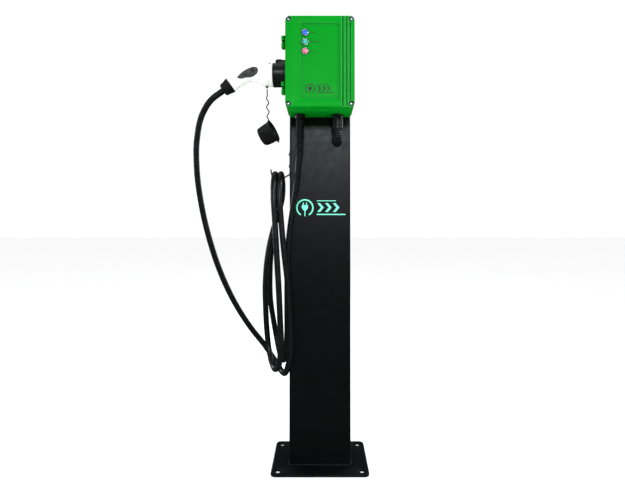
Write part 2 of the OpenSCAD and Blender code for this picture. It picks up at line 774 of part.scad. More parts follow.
// Ribbed pipe: a quarter turn from the gland down and back, with a short end inside the column
module supply_conduit() {
    bend = front_y - supply_gy;
    smooth_r = conduit_r - 1.2;
    bore_r = smooth_r - conduit_wall;
    sides = 20;
    turn = [for (a = [0 : 5 : 90]) [supply_gx, front_y - bend * cos(a), elbow_z - bend * sin(a)]];
    path = concat(turn, [[supply_gx, front_y + column_wall + 6, elbow_bottom]]);
    inner = concat([turn[0] + [0, 0, 1]], [for (k = [1 : 3 : 18]) turn[k]], [path[19] + [0, 1, 0]]);
    color("#101113") difference() {
        skin([for (i = [0 : len(path) - 1]) ring(path, i, i % 3 == 1 && i < 18 ? conduit_r : smooth_r, sides)]);
        skin([for (i = [0 : len(inner) - 1]) ring(inner, i, bore_r, sides)]);
    }
}

// Supply cable: up through the column, forward through the conduit, and up into the box
module supply_cable() {
    bend = front_y - supply_gy;
    turn = 30;
    inside_y = front_y + 14 + turn;
    path = concat(
        [for (z = [0, elbow_bottom / 2, elbow_bottom - turn]) [supply_gx, inside_y, z]],
        [for (a = [15 : 15 : 90])
            [supply_gx, inside_y - turn + turn * cos(a), elbow_bottom - turn + turn * sin(a)]],
        [for (a = [0 : 15 : 90]) [supply_gx, front_y - bend * sin(a), elbow_z - bend * cos(a)]],
        [[supply_gx, supply_gy, box_bottom + 24]]);
    color("#0c0d0e") tube_along(path, supply_cable_r, 12);
}

// ---- Holster ---------------------------------------------------------------------------------

module holster() {
    outer = holster_r + holster_wall;
    key_w = 26;
    key_h = 11;
    color("#161718") difference() {
        union() {
            left_cylinder(holster_x, gun_y, gun_z, outer, holster_l);
            left_cylinder(holster_x, gun_y, gun_z, outer + 3, 4);
            translate([mouth_x + 8, gun_y - key_w / 2, gun_z]) cube([holster_l - 8, key_w, outer + key_h - 3]);
            translate([mouth_x + 12, gun_y - key_w / 2 + 3, gun_z]) cube([16, key_w - 6, outer + key_h]);
        }
        left_cylinder(holster_x - holster_floor, gun_y, gun_z, holster_r, holster_l);
        left_cylinder(holster_x + 1, gun_y, gun_z, 12, 10);
        for (s = HOLSTER_SPOTS) left_cylinder(holster_x + 1, s[0], s[1], screw_r + 0.1, 10);
    }
}

module holster_screws() {
    color("silver") for (s = HOLSTER_SPOTS) {
        left_cylinder(holster_x + box_wall + 5, s[0], s[1], screw_r, box_wall + 5 + holster_floor);
        left_cylinder(holster_x - holster_floor, s[0], s[1], 3.6, 2.2);
        translate([holster_x + box_wall + 3.2, s[0], s[1]]) rotate([0, -90, 0]) cylinder(r = 4, h = 3.2, $fn = 6);
    }
}

// ---- Connector -------------------------------------------------------------------------------

module gun_body(g) { skin([for (s = GUN) gun_section(s, g)]); }

// Hollow left by the shell's wall, open at the boot end and at the nose
module gun_hollow() {
    n = len(GUN) - 1;
    skin([for (i = [0 : n]) gun_section(GUN[i] + (i == 0 ? [-1, 0, 0, 0, 0] : i == n ? [1, -0.7, 0, 0, 0] : [0, 0, 0, 0, 0]),
        -shell_wall)]);
}

module gun_shell(side) {
    difference() {
        gun_body(0);
        gun_hollow();
        translate([mouth_x - 200, side < 0 ? gun_y : gun_y - 60, gun_z - 100]) cube([220, 60, 200]);
    }
}

module gun_shell_front() { color("#f1f0ec") gun_shell(-1); }
module gun_shell_rear() { color("#f1f0ec") gun_shell(1); }

// Soft pads let into both sides of the handle
module grip_inlays() {
    pad = 0.9;
    color("#3a3b3d") difference() {
        intersection() {
            gun_body(pad);
            for (s = [-1, 1]) translate([mouth_x, gun_y + s * 28 + 16, gun_z]) rotate([90, 0, 0])
                linear_extrude(32) polygon(GRIP);
        }
        gun_body(0.05);
    }
}

module gun_nose() {
    length = tip_x - mouth_x + nose_tail;
    color("#111214") difference() {
        union() {
            left_cylinder(tip_x, gun_y, gun_z, nose_r, length);
            left_cylinder(mouth_x + 5, gun_y, gun_z, holster_r - 0.5, 5 - 0.2);
        }
        translate([mouth_x + 1, gun_y - 40, gun_z + nose_r - 5]) cube([60, 80, 20]);
        for (s = CONTACTS) left_cylinder(tip_x + 1, gun_y + s[0], gun_z + s[1], s[2] + 1, contact_end + 1);
    }
}

module gun_contacts() {
    color("#c9b06a") for (s = CONTACTS) difference() {
        left_cylinder(tip_x - contact_sunk, gun_y + s[0], gun_z + s[1], s[2], contact_end - contact_sunk);
        left_cylinder(tip_x, gun_y + s[0], gun_z + s[1], s[2] - 1, contact_end - 4);
    }
}

// Three screws that hold the shells together, seen on the front shell
module gun_screws() {
    color("#55585b") for (s = [[-10, 30.5, 20], [-13, -26, 23], [-121, -33, 18.5]])
        difference() {
            front_cylinder(mouth_x + s[0], gun_y - s[2] + 4, gun_z + s[1], 1.9, 5);
            front_cylinder(mouth_x + s[0], gun_y - s[2], gun_z + s[1], 0.9, 3, 6);
        }
}

module gun_boot() {
    color("#141517") translate([boot_x, gun_y, boot_z]) rotate([0, -90 - boot_heading, 0]) difference() {
        union() {
            translate([0, 0, 0.1]) cylinder(r = 24.6, h = 3);
            translate([0, 0, 3]) cylinder(r1 = 24.6, r2 = 19.5, h = boot_l - 7);
            translate([0, 0, boot_l - 4]) cylinder(r1 = 19.5, r2 = 14, h = 4);
        }
        translate([0, 0, 16]) cylinder(d = cable_d + 1.2, h = boot_l);
    }
}

// ---- Cable, lanyard and cap ------------------------------------------------------------------

module charging_cable() {
    color("#0d0e0f") tube_along(smoothed(CABLE), cable_d / 2, cable_sides);
}

module lanyard_stud() {
    color("#151618") translate([pivot_x, gun_y, pivot_z + 2]) {
        cylinder(r = 2.6, h = 6.5);
        translate([0, 0, 4]) cylinder(r = 4.5, h = 1.5);
    }
}

module lanyard() {
    drop = [LANYARD_END[0], 0, LANYARD_END[1]];
    waves = 3.4;
    steps = 26;
    path = [for (i = [0 : steps]) let (t = i / steps, swing = max(0, min(1, (t - 0.16) * 6, (1 - t) * 8)))
        [pivot_x, gun_y, pivot_z - 1] + t * drop
        + [3.6 * swing * sin(360 * waves * t - 70), 2.2 * swing * cos(360 * waves * t - 70), 0]];
    color("#0d0e0f") tube_along(path, lanyard_d / 2, 8);
}

module cap() {
    color("#141415") translate([pivot_x + cap_dx, gun_y + 5, pivot_z + cap_dz]) rotate(cap_tip) {
        rotate_extrude() polygon([
            [0, 0], [cap_back_r - 5, 0], [cap_back_r - 1.5, 1.5], [cap_back_r, 5], [cap_r - 1.5, cap_l - 8],
            [cap_r, cap_l - 7], [cap_r, cap_l], [cap_r - cap_wall, cap_l], [cap_r - cap_wall - 0.5, cap_l - 8],
            [cap_back_r - cap_wall, 5], [cap_back_r - cap_wall - 2, cap_wall], [0, cap_wall]]);
        translate([-cap_r - 4.5, -4, cap_l - 5]) cube([6, 8, 5]);
        translate([cap_r - 1, -5, cap_l - 5]) cube([7, 10, 5]);
    }
}

base_plate();
column();
weld_bead();
column_cap();
rear_cover();
rear_cover_screws();
cable_hook();
hook_bolts();
box_base();
box_lid();
lid_gasket();
hinge_pins();
lid_screws();
box_mount_screws();
indicator_bezels();
lens_blue();
lens_green();
lens_red();
indicator_nuts();
din_rail();
rcbo_body();
rcbo_lever();
contactor();
power_supply();
terminal_block();
earth_bar();
controller_board();
board_parts();
board_standoffs();
internal_wires();
cable_gland();
gland_locknut();
bend_spiral();
supply_gland();
supply_locknut();
supply_conduit();
supply_cable();
holster();
holster_screws();
gun_shell_front();
gun_shell_rear();
grip_inlays();
gun_nose();
gun_contacts();
gun_screws();
gun_boot();
charging_cable();
lanyard_stud();
lanyard();
cap();
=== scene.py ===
"""Electric car charging post: its looks, laid out as an add-on and run as a script.

Lengths in the making are millimetres, and piece() scales each mesh to metres when it places it.
The front faces -Y, and +X is to the right of someone who looks at the front.
"""

import math

import bmesh
import bpy
from mathutils import Matrix, Vector
from mathutils.bvhtree import BVHTree


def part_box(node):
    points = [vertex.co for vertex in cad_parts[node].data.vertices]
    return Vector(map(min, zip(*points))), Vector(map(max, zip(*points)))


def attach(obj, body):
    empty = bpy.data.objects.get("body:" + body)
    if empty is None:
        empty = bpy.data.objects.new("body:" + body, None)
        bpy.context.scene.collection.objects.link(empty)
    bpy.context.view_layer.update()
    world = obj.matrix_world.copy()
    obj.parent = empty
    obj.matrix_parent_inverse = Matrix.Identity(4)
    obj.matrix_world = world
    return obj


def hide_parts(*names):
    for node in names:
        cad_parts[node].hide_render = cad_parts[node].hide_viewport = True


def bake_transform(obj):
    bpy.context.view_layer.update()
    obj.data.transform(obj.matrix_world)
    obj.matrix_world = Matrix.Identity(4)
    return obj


bl_info = {
    "name": "Charging Post",
    "version": (1, 0, 0),
    "blender": (4, 5, 0),
    "location": "View3D > Sidebar > Charging Post",
    "description": "Builds the looks of an electric car charging post around its frame",
    "category": "Object",
}

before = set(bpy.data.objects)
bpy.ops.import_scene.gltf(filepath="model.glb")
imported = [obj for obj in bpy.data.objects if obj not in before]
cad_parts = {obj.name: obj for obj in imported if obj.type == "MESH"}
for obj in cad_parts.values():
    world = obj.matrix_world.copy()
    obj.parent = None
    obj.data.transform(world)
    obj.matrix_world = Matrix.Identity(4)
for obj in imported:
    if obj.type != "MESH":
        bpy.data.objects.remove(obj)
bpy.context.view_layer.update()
METRE = 1000  # millimetres


# ---- Places taken from the frame -------------------------------------------------------------


def span(node):
    """Lowest and highest corner of a node, in millimetres."""
    low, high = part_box(node)
    return low * METRE, high * METRE


PLATE_LOW, PLATE_HIGH = span("base_plate")
COLUMN_LOW, COLUMN_HIGH = span("column")
BASE_LOW, BASE_HIGH = span("box_base")
PIN_LOW, PIN_HIGH = span("hinge_pins")
HOLSTER_LOW, HOLSTER_HIGH = span("holster")
BEZEL_LOW, BEZEL_HIGH = span("indicator_bezels")

BOX_W = 2 * BASE_HIGH.x
BOX_H = BASE_HIGH.z - BASE_LOW.z
BOX_MID = (BASE_HIGH.z + BASE_LOW.z) / 2
BOX_R = 15
LID_FRONT = span("box_lid")[0].y
LID_SEAT = LID_FRONT + 5  # inner face of the lid's front, on which the screw heads sit
LID_PANEL = LID_FRONT + 2.5  # floor of the sunk panel
LID_BACK = span("lid_gasket")[0].y
BASE_FRONT = LID_BACK + 0.4
BASE_FLOOR = -48
BASE_BACK = BASE_HIGH.y
KNUCKLE_R = 6
HINGE_REACH = 18  # from a hinge's middle to its end
HINGE_X = (PIN_LOW.x + PIN_HIGH.x) / 2
HINGE_Y = (PIN_LOW.y + PIN_HIGH.y) / 2
HINGE_ZS = (PIN_LOW.z + HINGE_REACH, PIN_HIGH.z - HINGE_REACH)
SCREW_INSET = 10
SCREW_SPOTS = [(sx * (BOX_W / 2 - SCREW_INSET), BOX_MID + sz * (BOX_H / 2 - SCREW_INSET))
               for sx in (-1, 1) for sz in (-1, 1)]
MOUTH_X = HOLSTER_LOW.x
GUN_Y = span("gun_shell_front")[1].y
GUN_Z = BASE_LOW.z + 123.5
PIVOT = Vector((MOUTH_X - 20, GUN_Y, GUN_Z - 42.5))  # where the cap's lanyard hangs
BOOT_REACH, BOOT_DROP, BOOT_HEADING = 135.5, 31.5, 36  # the connector's end at its boot

# Middle of the charging cable, from the gland, in two turns over the hook, to the connector's boot
CABLE_ROUTE = [
    (-64, -80, 1122), (-64, -80, 1080), (-65, -78, 1040), (-68, -73, 1000), (-72, -66, 950),
    (-78, -60, 900), (-88, -57, 840), (-97, -57, 780), (-104, -57.5, 700), (-106, -58.5, 600),
    (-106, -60, 510), (-106, -61, 430), (-109, -54, 380), (-116, -30, 345), (-127, 4, 332),
    (-140, 38, 345), (-152, 63, 382), (-164, 72, 440), (-176, 71, 520), (-178, 69, 610),
    (-172, 68, 710), (-160.5, 68.5, 800), (-153, 68.5, 880), (-152, 58.5, 922), (-151, 33, 949.5),
    (-151, 0, 958.5), (-151, -33, 949.5), (-151, -58, 922), (-150, -68.5, 880), (-144, -74.5, 790),
    (-137, -82, 680), (-130, -90, 580), (-125, -98, 490), (-122, -102, 410), (-126, -94, 360),
    (-136, -71, 328), (-149, -40, 316), (-162, -9, 328), (-174, 15, 362), (-182, 24, 420),
    (-187, 26, 500), (-188, 26, 590), (-181, 30, 680), (-166, 38, 760), (-146.5, 47, 825),
    (-134, 63.5, 880), (-131, 57.5, 922), (-131.5, 33, 949.5), (-131.5, 0, 958.5),
    (-131.5, -33, 949.5), (-129.5, -58, 922), (-130, -67.5, 880), (-124, -70.5, 790),
    (-115, -75.5, 700), (-104, -79.5, 610), (-98, -81, 510), (-94, -82, 410), (-97, -78, 360),
    (-106, -62, 320), (-117, -31, 297), (-132, 6, 294), (-154, 38, 313), (-190, 52, 360),
    (-241, 42, 429), (-294, 22, 522), (-339, 0, 632), (-371, -20, 746), (-391, -40, 856),
    (-400, -60, 970), (-395, -74, 1064), (-375, -83, 1140), (-345, -88, 1184), (-314, -88, 1208),
    (-300, -88, 1218),
]

# The connector from its front end to its boot: distance from the holster's mouth, height from its
# axis, heading in degrees, half width and half height
CONNECTOR = [
    (0, 0, 0, 34, 35.2), (12, 0.2, 0, 34.5, 35.5), (26, 1, 0, 34, 35), (38, 2.2, 0, 32, 32.4),
    (50, 3.8, 0, 28.5, 28.4), (62, 4.6, 2, 25.5, 25.2), (74, 3, 9, 23.5, 23),
    (86, -2, 17, 22, 21.8), (98, -7.5, 24, 21.3, 21.2), (110, -14, 29, 21.3, 21.3),
    (122, -22, 33, 22, 21.8), (BOOT_REACH, -BOOT_DROP, BOOT_HEADING, 23, 22.4),
]

# Outline of a grip pad: distance behind the holster's mouth and height from the connector's axis
GRIP_OUTLINE = [
    (-112, -14), (-107, -17), (-82, -13.5), (-56, -9.5), (-47, -4), (-44, 4.5), (-48, 14.5),
    (-57, 18.5), (-76, 14.5), (-94, 4.5),
]

# Soft lamps: place, what they point at, size and power
LAMPS = {
    "key_light": ((1.7, -0.8, 2.2), (0.0, -0.1, 1.2), (0.5, 0.5), 26),
    "fill_light": ((-1.9, -0.7, 1.5), (-0.1, 0.0, 1.0), (0.8, 1.4), 7),
    "front_light": ((0.16, -2.6, 1.86), (0.0, 0.0, 1.1), (0.8, 0.42), 21),
    "right_rim_light": ((2.3, 2.0, 1.5), (0.0, 0.0, 0.9), (1.0, 1.8), 26),
    "left_rim_light": ((-2.3, 2.0, 1.5), (0.0, 0.0, 0.9), (1.0, 1.8), 26),
    "top_light": ((0.0, 0.1, 3.0), (0.0, 0.0, 0.0), (2.4, 2.4), 12),
}
LAMP_COLOUR = (0.90, 0.98, 1.0)
ROOM_SEEN, ROOM_MIRRORED = 1.06, 0.05  # brightness of the room, seen and in glossy surfaces


# ---- Properties --------------------------------------------------------------------------------


class PostSizes(bpy.types.PropertyGroup):
    """Sizes that a user would change"""

    cable_length: bpy.props.FloatProperty(
        name="Cable length", description="Length of the charging cable", default=4.8, unit="LENGTH")
    cable_diameter: bpy.props.FloatProperty(
        name="Cable diameter", description="Diameter of the charging cable", default=0.019,
        unit="LENGTH")
    lanyard_diameter: bpy.props.FloatProperty(
        name="Lanyard diameter", description="Diameter of the cap's lanyard", default=0.0035,
        unit="LENGTH")
    edge_radius: bpy.props.FloatProperty(
        name="Edge radius", description="Rounding that the finishes give to crisp edges",
        default=0.0008, unit="LENGTH")
    weld_pitch: bpy.props.FloatProperty(
        name="Weld pitch", description="Distance between the ripples of the foot's weld",
        default=0.004, unit="LENGTH")
    coil_pitch: bpy.props.FloatProperty(
        name="Coil pitch", description="Distance between the turns of the bend protection",
        default=0.0062, unit="LENGTH")


class PostColours(bpy.types.PropertyGroup):
    """Colours that a user would change"""

    housing: bpy.props.FloatVectorProperty(
        name="Housing", description="Colour of the charger box", default=(0.0003, 0.235, 0.011),
        subtype="COLOR")
    column: bpy.props.FloatVectorProperty(
        name="Column", description="Colour of the powder coat", default=(0.0007, 0.0011, 0.0014),
        subtype="COLOR")
    connector: bpy.props.FloatVectorProperty(
        name="Connector", description="Colour of the connector's shells",
        default=(0.86, 0.85, 0.82), subtype="COLOR")
    mark: bpy.props.FloatVectorProperty(
        name="Mark", description="Colour of the printed mark on the column",
        default=(0.16, 0.78, 0.55), subtype="COLOR")


def sizes():
    """The scene's sizes, in metres."""
    return bpy.context.scene.charging_post_sizes


def colours():
    """The scene's colours."""
    return bpy.context.scene.charging_post_colours


# ---- Finishes ----------------------------------------------------------------------------------

FINISHES = {}


def add_node(tree, kind, inputs=None, **settings):
    """New node with its settings, and with its inputs linked to sockets or set to values."""
    node = tree.nodes.new(kind)
    for key, value in settings.items():
        setattr(node, key, value)
    for key, value in (inputs or {}).items():
        if isinstance(value, bpy.types.NodeSocket):
            tree.links.new(value, node.inputs[key])
        else:
            node.inputs[key].default_value = value
    return node


def find_node(tree, kind):
    """The tree's first node of a kind."""
    return next(n for n in tree.nodes if n.type == kind)


def seen_or_mirrored(tree, seen, mirrored):
    """Shows one shader to the eye and the other to glossy surfaces."""
    path = add_node(tree, "ShaderNodeLightPath")
    both = add_node(tree, "ShaderNodeMixShader", {
        0: path.outputs["Is Glossy Ray"], 1: seen.outputs[0], 2: mirrored.outputs[0]})
    return both.outputs[0]


def shade(colour, share):
    """The colour made lighter above 1 or darker below it."""
    return (*(min(1.0, c * share) for c in colour[:3]), 1.0)


def finish(name, colour, roughness, *, metallic=0.0, specular=0.5, coat=0.0, mottle=0.12,
           mottle_scale=30.0, grain=0.15, grain_scale=900.0, grain_depth=0.0002, uneven=0.1,
           edge_wear_and_sheen=None, edge=None, painted_glow=0.0, painted_hollow_shade=0.0, pattern=None):
    """One node-built finish: mottled colour, uneven gloss, fine grain, and softened edges with a
    lighter edge colour.
    Edge_wear_and_sheen is that edge colour and its strength: wear on some finishes and a painted
    highlight on others.
    Painted_hollow_shade is how much painted shade darkens deep places."""
    if name in FINISHES:
        return FINISHES[name]
    material = bpy.data.materials.new(name)
    material.use_nodes = True
    tree = material.node_tree
    surface = find_node(tree, "BSDF_PRINCIPLED")
    place = add_node(tree, "ShaderNodeTexCoord").outputs["Object"]
    broad = add_node(tree, "ShaderNodeTexNoise",
                     {"Vector": place, "Scale": mottle_scale, "Detail": 4.0})
    tint = add_node(tree, "ShaderNodeValToRGB", {"Fac": broad.outputs["Fac"]})
    stops = ((0.3, 1 - mottle), (0.7, 1 + mottle))
    for stop, (position, share) in zip(tint.color_ramp.elements, stops):
        stop.position, stop.color = position, shade(colour, share)
    painted = tint.outputs["Color"]
    radius = sizes().edge_radius if edge is None else edge
    rounded = add_node(tree, "ShaderNodeBevel", {"Radius": radius}, samples=6)
    # Lighter colour mixed in, in noisy patches, where the rounded normal turns away from the true
    # one: wear on the black finishes, a painted highlight on the green housing
    if edge_wear_and_sheen:
        true_normal = add_node(tree, "ShaderNodeNewGeometry").outputs["Normal"]
        flatness = add_node(tree, "ShaderNodeVectorMath",
                            {0: rounded.outputs["Normal"], 1: true_normal}, operation="DOT_PRODUCT")
        turned = add_node(tree, "ShaderNodeMapRange", {"Value": flatness.outputs["Value"],
                                                       "From Min": 0.99, "From Max": 0.75,
                                                       "To Min": 0.0, "To Max": edge_wear_and_sheen[1]})
        patches = add_node(tree, "ShaderNodeTexNoise",
                           {"Vector": place, "Scale": 140.0, "Detail": 5.0})
        wear_and_sheen_mask = add_node(tree, "ShaderNodeMath",
                          {0: turned.outputs["Result"], 1: patches.outputs["Fac"]},
                          operation="MULTIPLY")
        # The mix node's sockets 6, 7 and 2 are its two colours and its result
        mixed = add_node(tree, "ShaderNodeMix", {
            "Factor": wear_and_sheen_mask.outputs["Value"], 6: painted, 7: (*edge_wear_and_sheen[0], 1.0)}, data_type="RGBA")
        painted = mixed.outputs[2]
    # Painted shade: the colour is darkened where ambient occlusion finds deep places, such as
    # recesses, flutes and creases
    if painted_hollow_shade:
        open_sky = add_node(tree, "ShaderNodeAmbientOcclusion", {"Distance": 0.012}, samples=8)
        painted_shade = add_node(tree, "ShaderNodeMapRange", {"Value": open_sky.outputs["AO"],
                                                       "From Min": 0.5, "From Max": 1.0,
                                                       "To Min": 1 - painted_hollow_shade, "To Max": 1.0})
        mixed = add_node(tree, "ShaderNodeVectorMath",
                         {0: painted, "Scale": painted_shade.outputs["Result"]}, operation="SCALE")
        painted = mixed.outputs["Vector"]
    gloss = add_node(tree, "ShaderNodeTexNoise",
                     {"Vector": place, "Scale": mottle_scale * 3.1, "Detail": 5.0})
    spread = add_node(tree, "ShaderNodeMapRange", {
        "Value": gloss.outputs["Fac"], "From Min": 0.3, "From Max": 0.7,
        "To Min": max(0.03, roughness - uneven), "To Max": min(1.0, roughness + uneven)})
    if pattern:
        height = pattern(tree, place)
    else:
        grains = {"Vector": place, "Scale": grain_scale, "Detail": 2.0}
        height = add_node(tree, "ShaderNodeTexNoise", grains).outputs["Fac"]
    bump = add_node(tree, "ShaderNodeBump", {"Height": height, "Strength": grain,
                                             "Distance": grain_depth,
                                             "Normal": rounded.outputs["Normal"]})
    tree.links.new(painted, surface.inputs["Base Color"])
    tree.links.new(spread.outputs["Result"], surface.inputs["Roughness"])
    tree.links.new(bump.outputs["Normal"], surface.inputs["Normal"])
    surface.inputs["Metallic"].default_value = metallic
    surface.inputs["Specular IOR Level"].default_value = specular
    surface.inputs["Coat Weight"].default_value = coat
    surface.inputs["Coat Roughness"].default_value = 0.12
    # Painted glow: the surface gives off light in its own colour, though it is no lamp
    if painted_glow:
        surface.inputs["Emission Color"].default_value = (*colour[:3], 1.0)
        surface.inputs["Emission Strength"].default_value = painted_glow
    FINISHES[name] = material
    return material


def powder_coat():
    return finish("powder_coat", colours().column, 0.42, specular=0.38, mottle=0.25,
                  mottle_scale=14, grain=0.35, grain_scale=1500, grain_depth=0.00012, uneven=0.05,
                  edge_wear_and_sheen=((0.10, 0.105, 0.11), 0.5))


def housing_green():
    # The pale green edge colour is a painted highlight on the edges and flutes, and the darkened
    # hollows are painted shade in the sunk panel, flutes and screw wells
    return finish("housing_green", colours().housing, 0.34, specular=0.035, mottle=0.05,
                  mottle_scale=9, grain=0.22, grain_scale=2200, grain_depth=0.00006, uneven=0.05,
                  edge_wear_and_sheen=((0.22, 0.85, 0.36), 2.2), edge=0.0018, painted_hollow_shade=0.75)


def shell_white():
    return finish("shell_white", colours().connector, 0.30, specular=0.5, mottle=0.025,
                  mottle_scale=12, grain=0.15, grain_scale=2400, grain_depth=0.00004, uneven=0.05,
                  edge=0.0006)


def dimples(tree, place):
    """Close rows of small round dimples."""
    cells = add_node(tree, "ShaderNodeTexVoronoi",
                     {"Vector": place, "Scale": 520.0, "Randomness": 0.15})
    return add_node(tree, "ShaderNodeMapRange", {
        "Value": cells.outputs["Distance"], "From Min": 0.15, "From Max": 0.5}).outputs["Result"]


def grip_grey():
    return finish("grip_grey", (0.045, 0.047, 0.046), 0.62, specular=0.35, mottle=0.3,
                  mottle_scale=60, grain=0.9, grain_depth=0.0004, pattern=dimples)


def moulded_black():
    return finish("moulded_black", (0.005, 0.0052, 0.0055), 0.38, specular=0.36, mottle=0.25,
                  mottle_scale=26, grain=0.3, grain_scale=1400, grain_depth=0.00012,
                  edge_wear_and_sheen=((0.04, 0.04, 0.042), 0.5))


def rubber_black():
    return finish("rubber_black", (0.005, 0.005, 0.005), 0.55, specular=0.3, mottle=0.3,
                  mottle_scale=40, grain=0.4, grain_scale=1100, grain_depth=0.00015,
                  edge_wear_and_sheen=((0.025, 0.025, 0.025), 0.5))


def drawn_jacket(tree, place):
    """Faint uneven skin of an extruded jacket."""
    skin = add_node(tree, "ShaderNodeTexNoise", {"Vector": place, "Scale": 700.0, "Detail": 6.0})
    return skin.outputs["Fac"]


def cable_black():
    return finish("cable_black", (0.004, 0.0042, 0.0045), 0.34, specular=0.4, mottle=0.3,
                  mottle_scale=22, grain=0.25, grain_depth=0.00015, uneven=0.1,
                  pattern=drawn_jacket)


def zinc():
    return finish("zinc", (0.62, 0.64, 0.66), 0.33, metallic=1.0, mottle=0.12, mottle_scale=160,
                  grain=0.2, grain_scale=1800, grain_depth=0.0001)


def satin_chrome():
    return finish("satin_chrome", (0.62, 0.61, 0.66), 0.26, metallic=1.0, mottle=0.04,
                  mottle_scale=120, grain=0.08, grain_scale=2600, grain_depth=0.00005, uneven=0.06)


def lens_finish(name, colour):
    # The lenses get a faint painted glow in their own colour
    return finish(name, colour, 0.16, specular=0.6, coat=0.6, mottle=0.2, mottle_scale=180,
                  grain=0.1, grain_scale=900, grain_depth=0.00008, uneven=0.04, painted_glow=0.06)


def device_grey():
    return finish("device_grey", (0.62, 0.62, 0.60), 0.5, mottle=0.05, mottle_scale=60, grain=0.25,
                  grain_scale=2000, grain_depth=0.00008)


def toggle_blue():
    return finish("toggle_blue", (0.03, 0.09, 0.42), 0.35, mottle=0.08, mottle_scale=120,
                  grain=0.15, grain_depth=0.00008)


def tracks(tree, place):
    """Raised copper tracks under the board's mask."""
    wave = add_node(tree, "ShaderNodeTexVoronoi",
                    {"Vector": place, "Scale": 190.0, "Randomness": 0.5}, distance="MANHATTAN",
                    feature="F1")
    return add_node(tree, "ShaderNodeMapRange", {
        "Value": wave.outputs["Distance"], "From Min": 0.30, "From Max": 0.36}).outputs["Result"]


def board_green():
    return finish("board_green", (0.006, 0.13, 0.045), 0.3, mottle=0.45, mottle_scale=210,
                  grain=0.6, grain_depth=0.0002, pattern=tracks)


def brass():
    return finish("brass", (0.72, 0.52, 0.20), 0.28, metallic=1.0, mottle=0.12, mottle_scale=120,
                  grain=0.15, grain_depth=0.0001)


def wire(name, colour):
    return finish(name, colour, 0.42, mottle=0.08, mottle_scale=90, grain=0.15, grain_depth=0.0001)


def print_ink(name, colour, painted_glow=0.0):
    return finish(name, colour, 0.5, mottle=0.08, mottle_scale=70, grain=0.3, grain_scale=1600,
                  grain_depth=0.00005, edge=0.0001, painted_glow=painted_glow)


# ---- Shapes ------------------------------------------------------------------------------------


def rounded_loop(width, height, radius, corner=8):
    """Points of a rounded rectangle round the middle, anticlockwise."""
    radius = min(radius, width / 2 - 0.001, height / 2 - 0.001)
    loop = []
    for i, (sx, sy) in enumerate(((1, 1), (-1, 1), (-1, -1), (1, -1))):
        for k in range(corner + 1):
            a = math.pi / 2 * (i + k / corner)
            loop.append((sx * (width / 2 - radius) + radius * math.cos(a),
                         sy * (height / 2 - radius) + radius * math.sin(a)))
    return loop


def circle_loop(radius, steps=32):
    """Points of a circle round the middle, anticlockwise."""
    return [(radius * math.cos(2 * math.pi * k / steps), radius * math.sin(2 * math.pi * k / steps))
            for k in range(steps)]


def bridge(mesh, first, second):
    """Skin between two rings."""
    count = len(first)
    for k in range(count):
        mesh.faces.new((first[k], first[(k + 1) % count], second[(k + 1) % count], second[k]))


def loft(mesh, rings, closed=False):
    """Skin through rings of equally many points, closed to a ring or capped at both ends."""
    made = [[mesh.verts.new(p) for p in ring] for ring in rings]
    for a, b in zip(made, made[1:]):
        bridge(mesh, a, b)
    if closed:
        bridge(mesh, made[-1], made[0])
    else:
        mesh.faces.new(list(reversed(made[0])))
        mesh.faces.new(made[-1])
    return made


def lathe(mesh, profile, place, steps=48, closed=False):
    """Turned shape: a profile of radius and height round the local Z axis of a place. A closed
    profile makes a ring."""
    thin = 0.01
    rings = [[place @ Vector((x, y, height)) for x, y in circle_loop(max(radius, thin), steps)]
             for radius, height in profile]
    return loft(mesh, rings, closed=closed)


def facing(point, direction):
    """A place at a point whose Z axis points along a direction."""
    turn = Vector(direction).to_track_quat("Z", "Y").to_matrix().to_4x4()
    return Matrix.Translation(Vector(point)) @ turn


def soft_box(mesh, low, high, radius, place=None, segments=3):
    """Box between two corners with rounded edges."""
    low, high = Vector(low), Vector(high)
    made = bmesh.ops.create_cube(mesh, size=1.0)["verts"]
    middle, size = (low + high) / 2, high - low
    for v in made:
        v.co = middle + Vector((v.co.x * size.x, v.co.y * size.y, v.co.z * size.z))
    if place is not None:
        bmesh.ops.transform(mesh, matrix=place, verts=made)
    edges = list(dict.fromkeys(e for v in made for e in v.link_edges))
    bmesh.ops.bevel(mesh, geom=edges, offset=radius, segments=segments, profile=0.5, affect="EDGES",
                    clamp_overlap=True)


def headings(points):
    """Unit directions of a smooth line at its points."""
    ways = []
    for i, point in enumerate(points):
        before = (point - points[i - 1]) if i else None
        after = (points[i + 1] - point) if i + 1 < len(points) else None
        if before is None or after is None:
            way = after or before
        else:
            way = before / before.length * after.length + after / after.length * before.length
        ways.append(way.normalized())
    return ways


def smooth_line(route, step):
    """Dense points of the smooth line through a route."""
    points = [Vector(p) for p in route]
    ways = headings(points)
    line = []
    for i in range(len(points) - 1):
        chord = (points[i + 1] - points[i]).length
        count = max(1, round(chord / step))
        for k in range(count):
            t = k / count
            a, b, c = t * t, t * t * t, chord
            line.append((2 * b - 3 * a + 1) * points[i] + (b - 2 * a + t) * c * ways[i]
                        + (3 * a - 2 * b) * points[i + 1] + (b - a) * c * ways[i + 1])
    line.append(points[-1])
    return line


def frames_along(line):
    """Two directions square to a line at each of its points, without twist."""
    ways = headings(line)
    side = ways[0].orthogonal().normalized()
    made = []
    for way in ways:
        side = (side - side.dot(way) * way).normalized()
        made.append((side.copy(), way.cross(side)))
    return made


def tube(mesh, line, radius, sides=16, closed=False):
    """Tube along a line. Radius is a number, or a function of the ring's number and the angle's
    share of a turn."""
    rings = []
    for i, (point, (u, v)) in enumerate(zip(line, frames_along(line))):
        ring = []
        for k in range(sides):
            a = 2 * math.pi * k / sides
            r = radius(i, k / sides) if callable(radius) else radius
            ring.append(point + r * (math.cos(a) * u + math.sin(a) * v))
        rings.append(ring)
    return loft(mesh, rings, closed=closed)


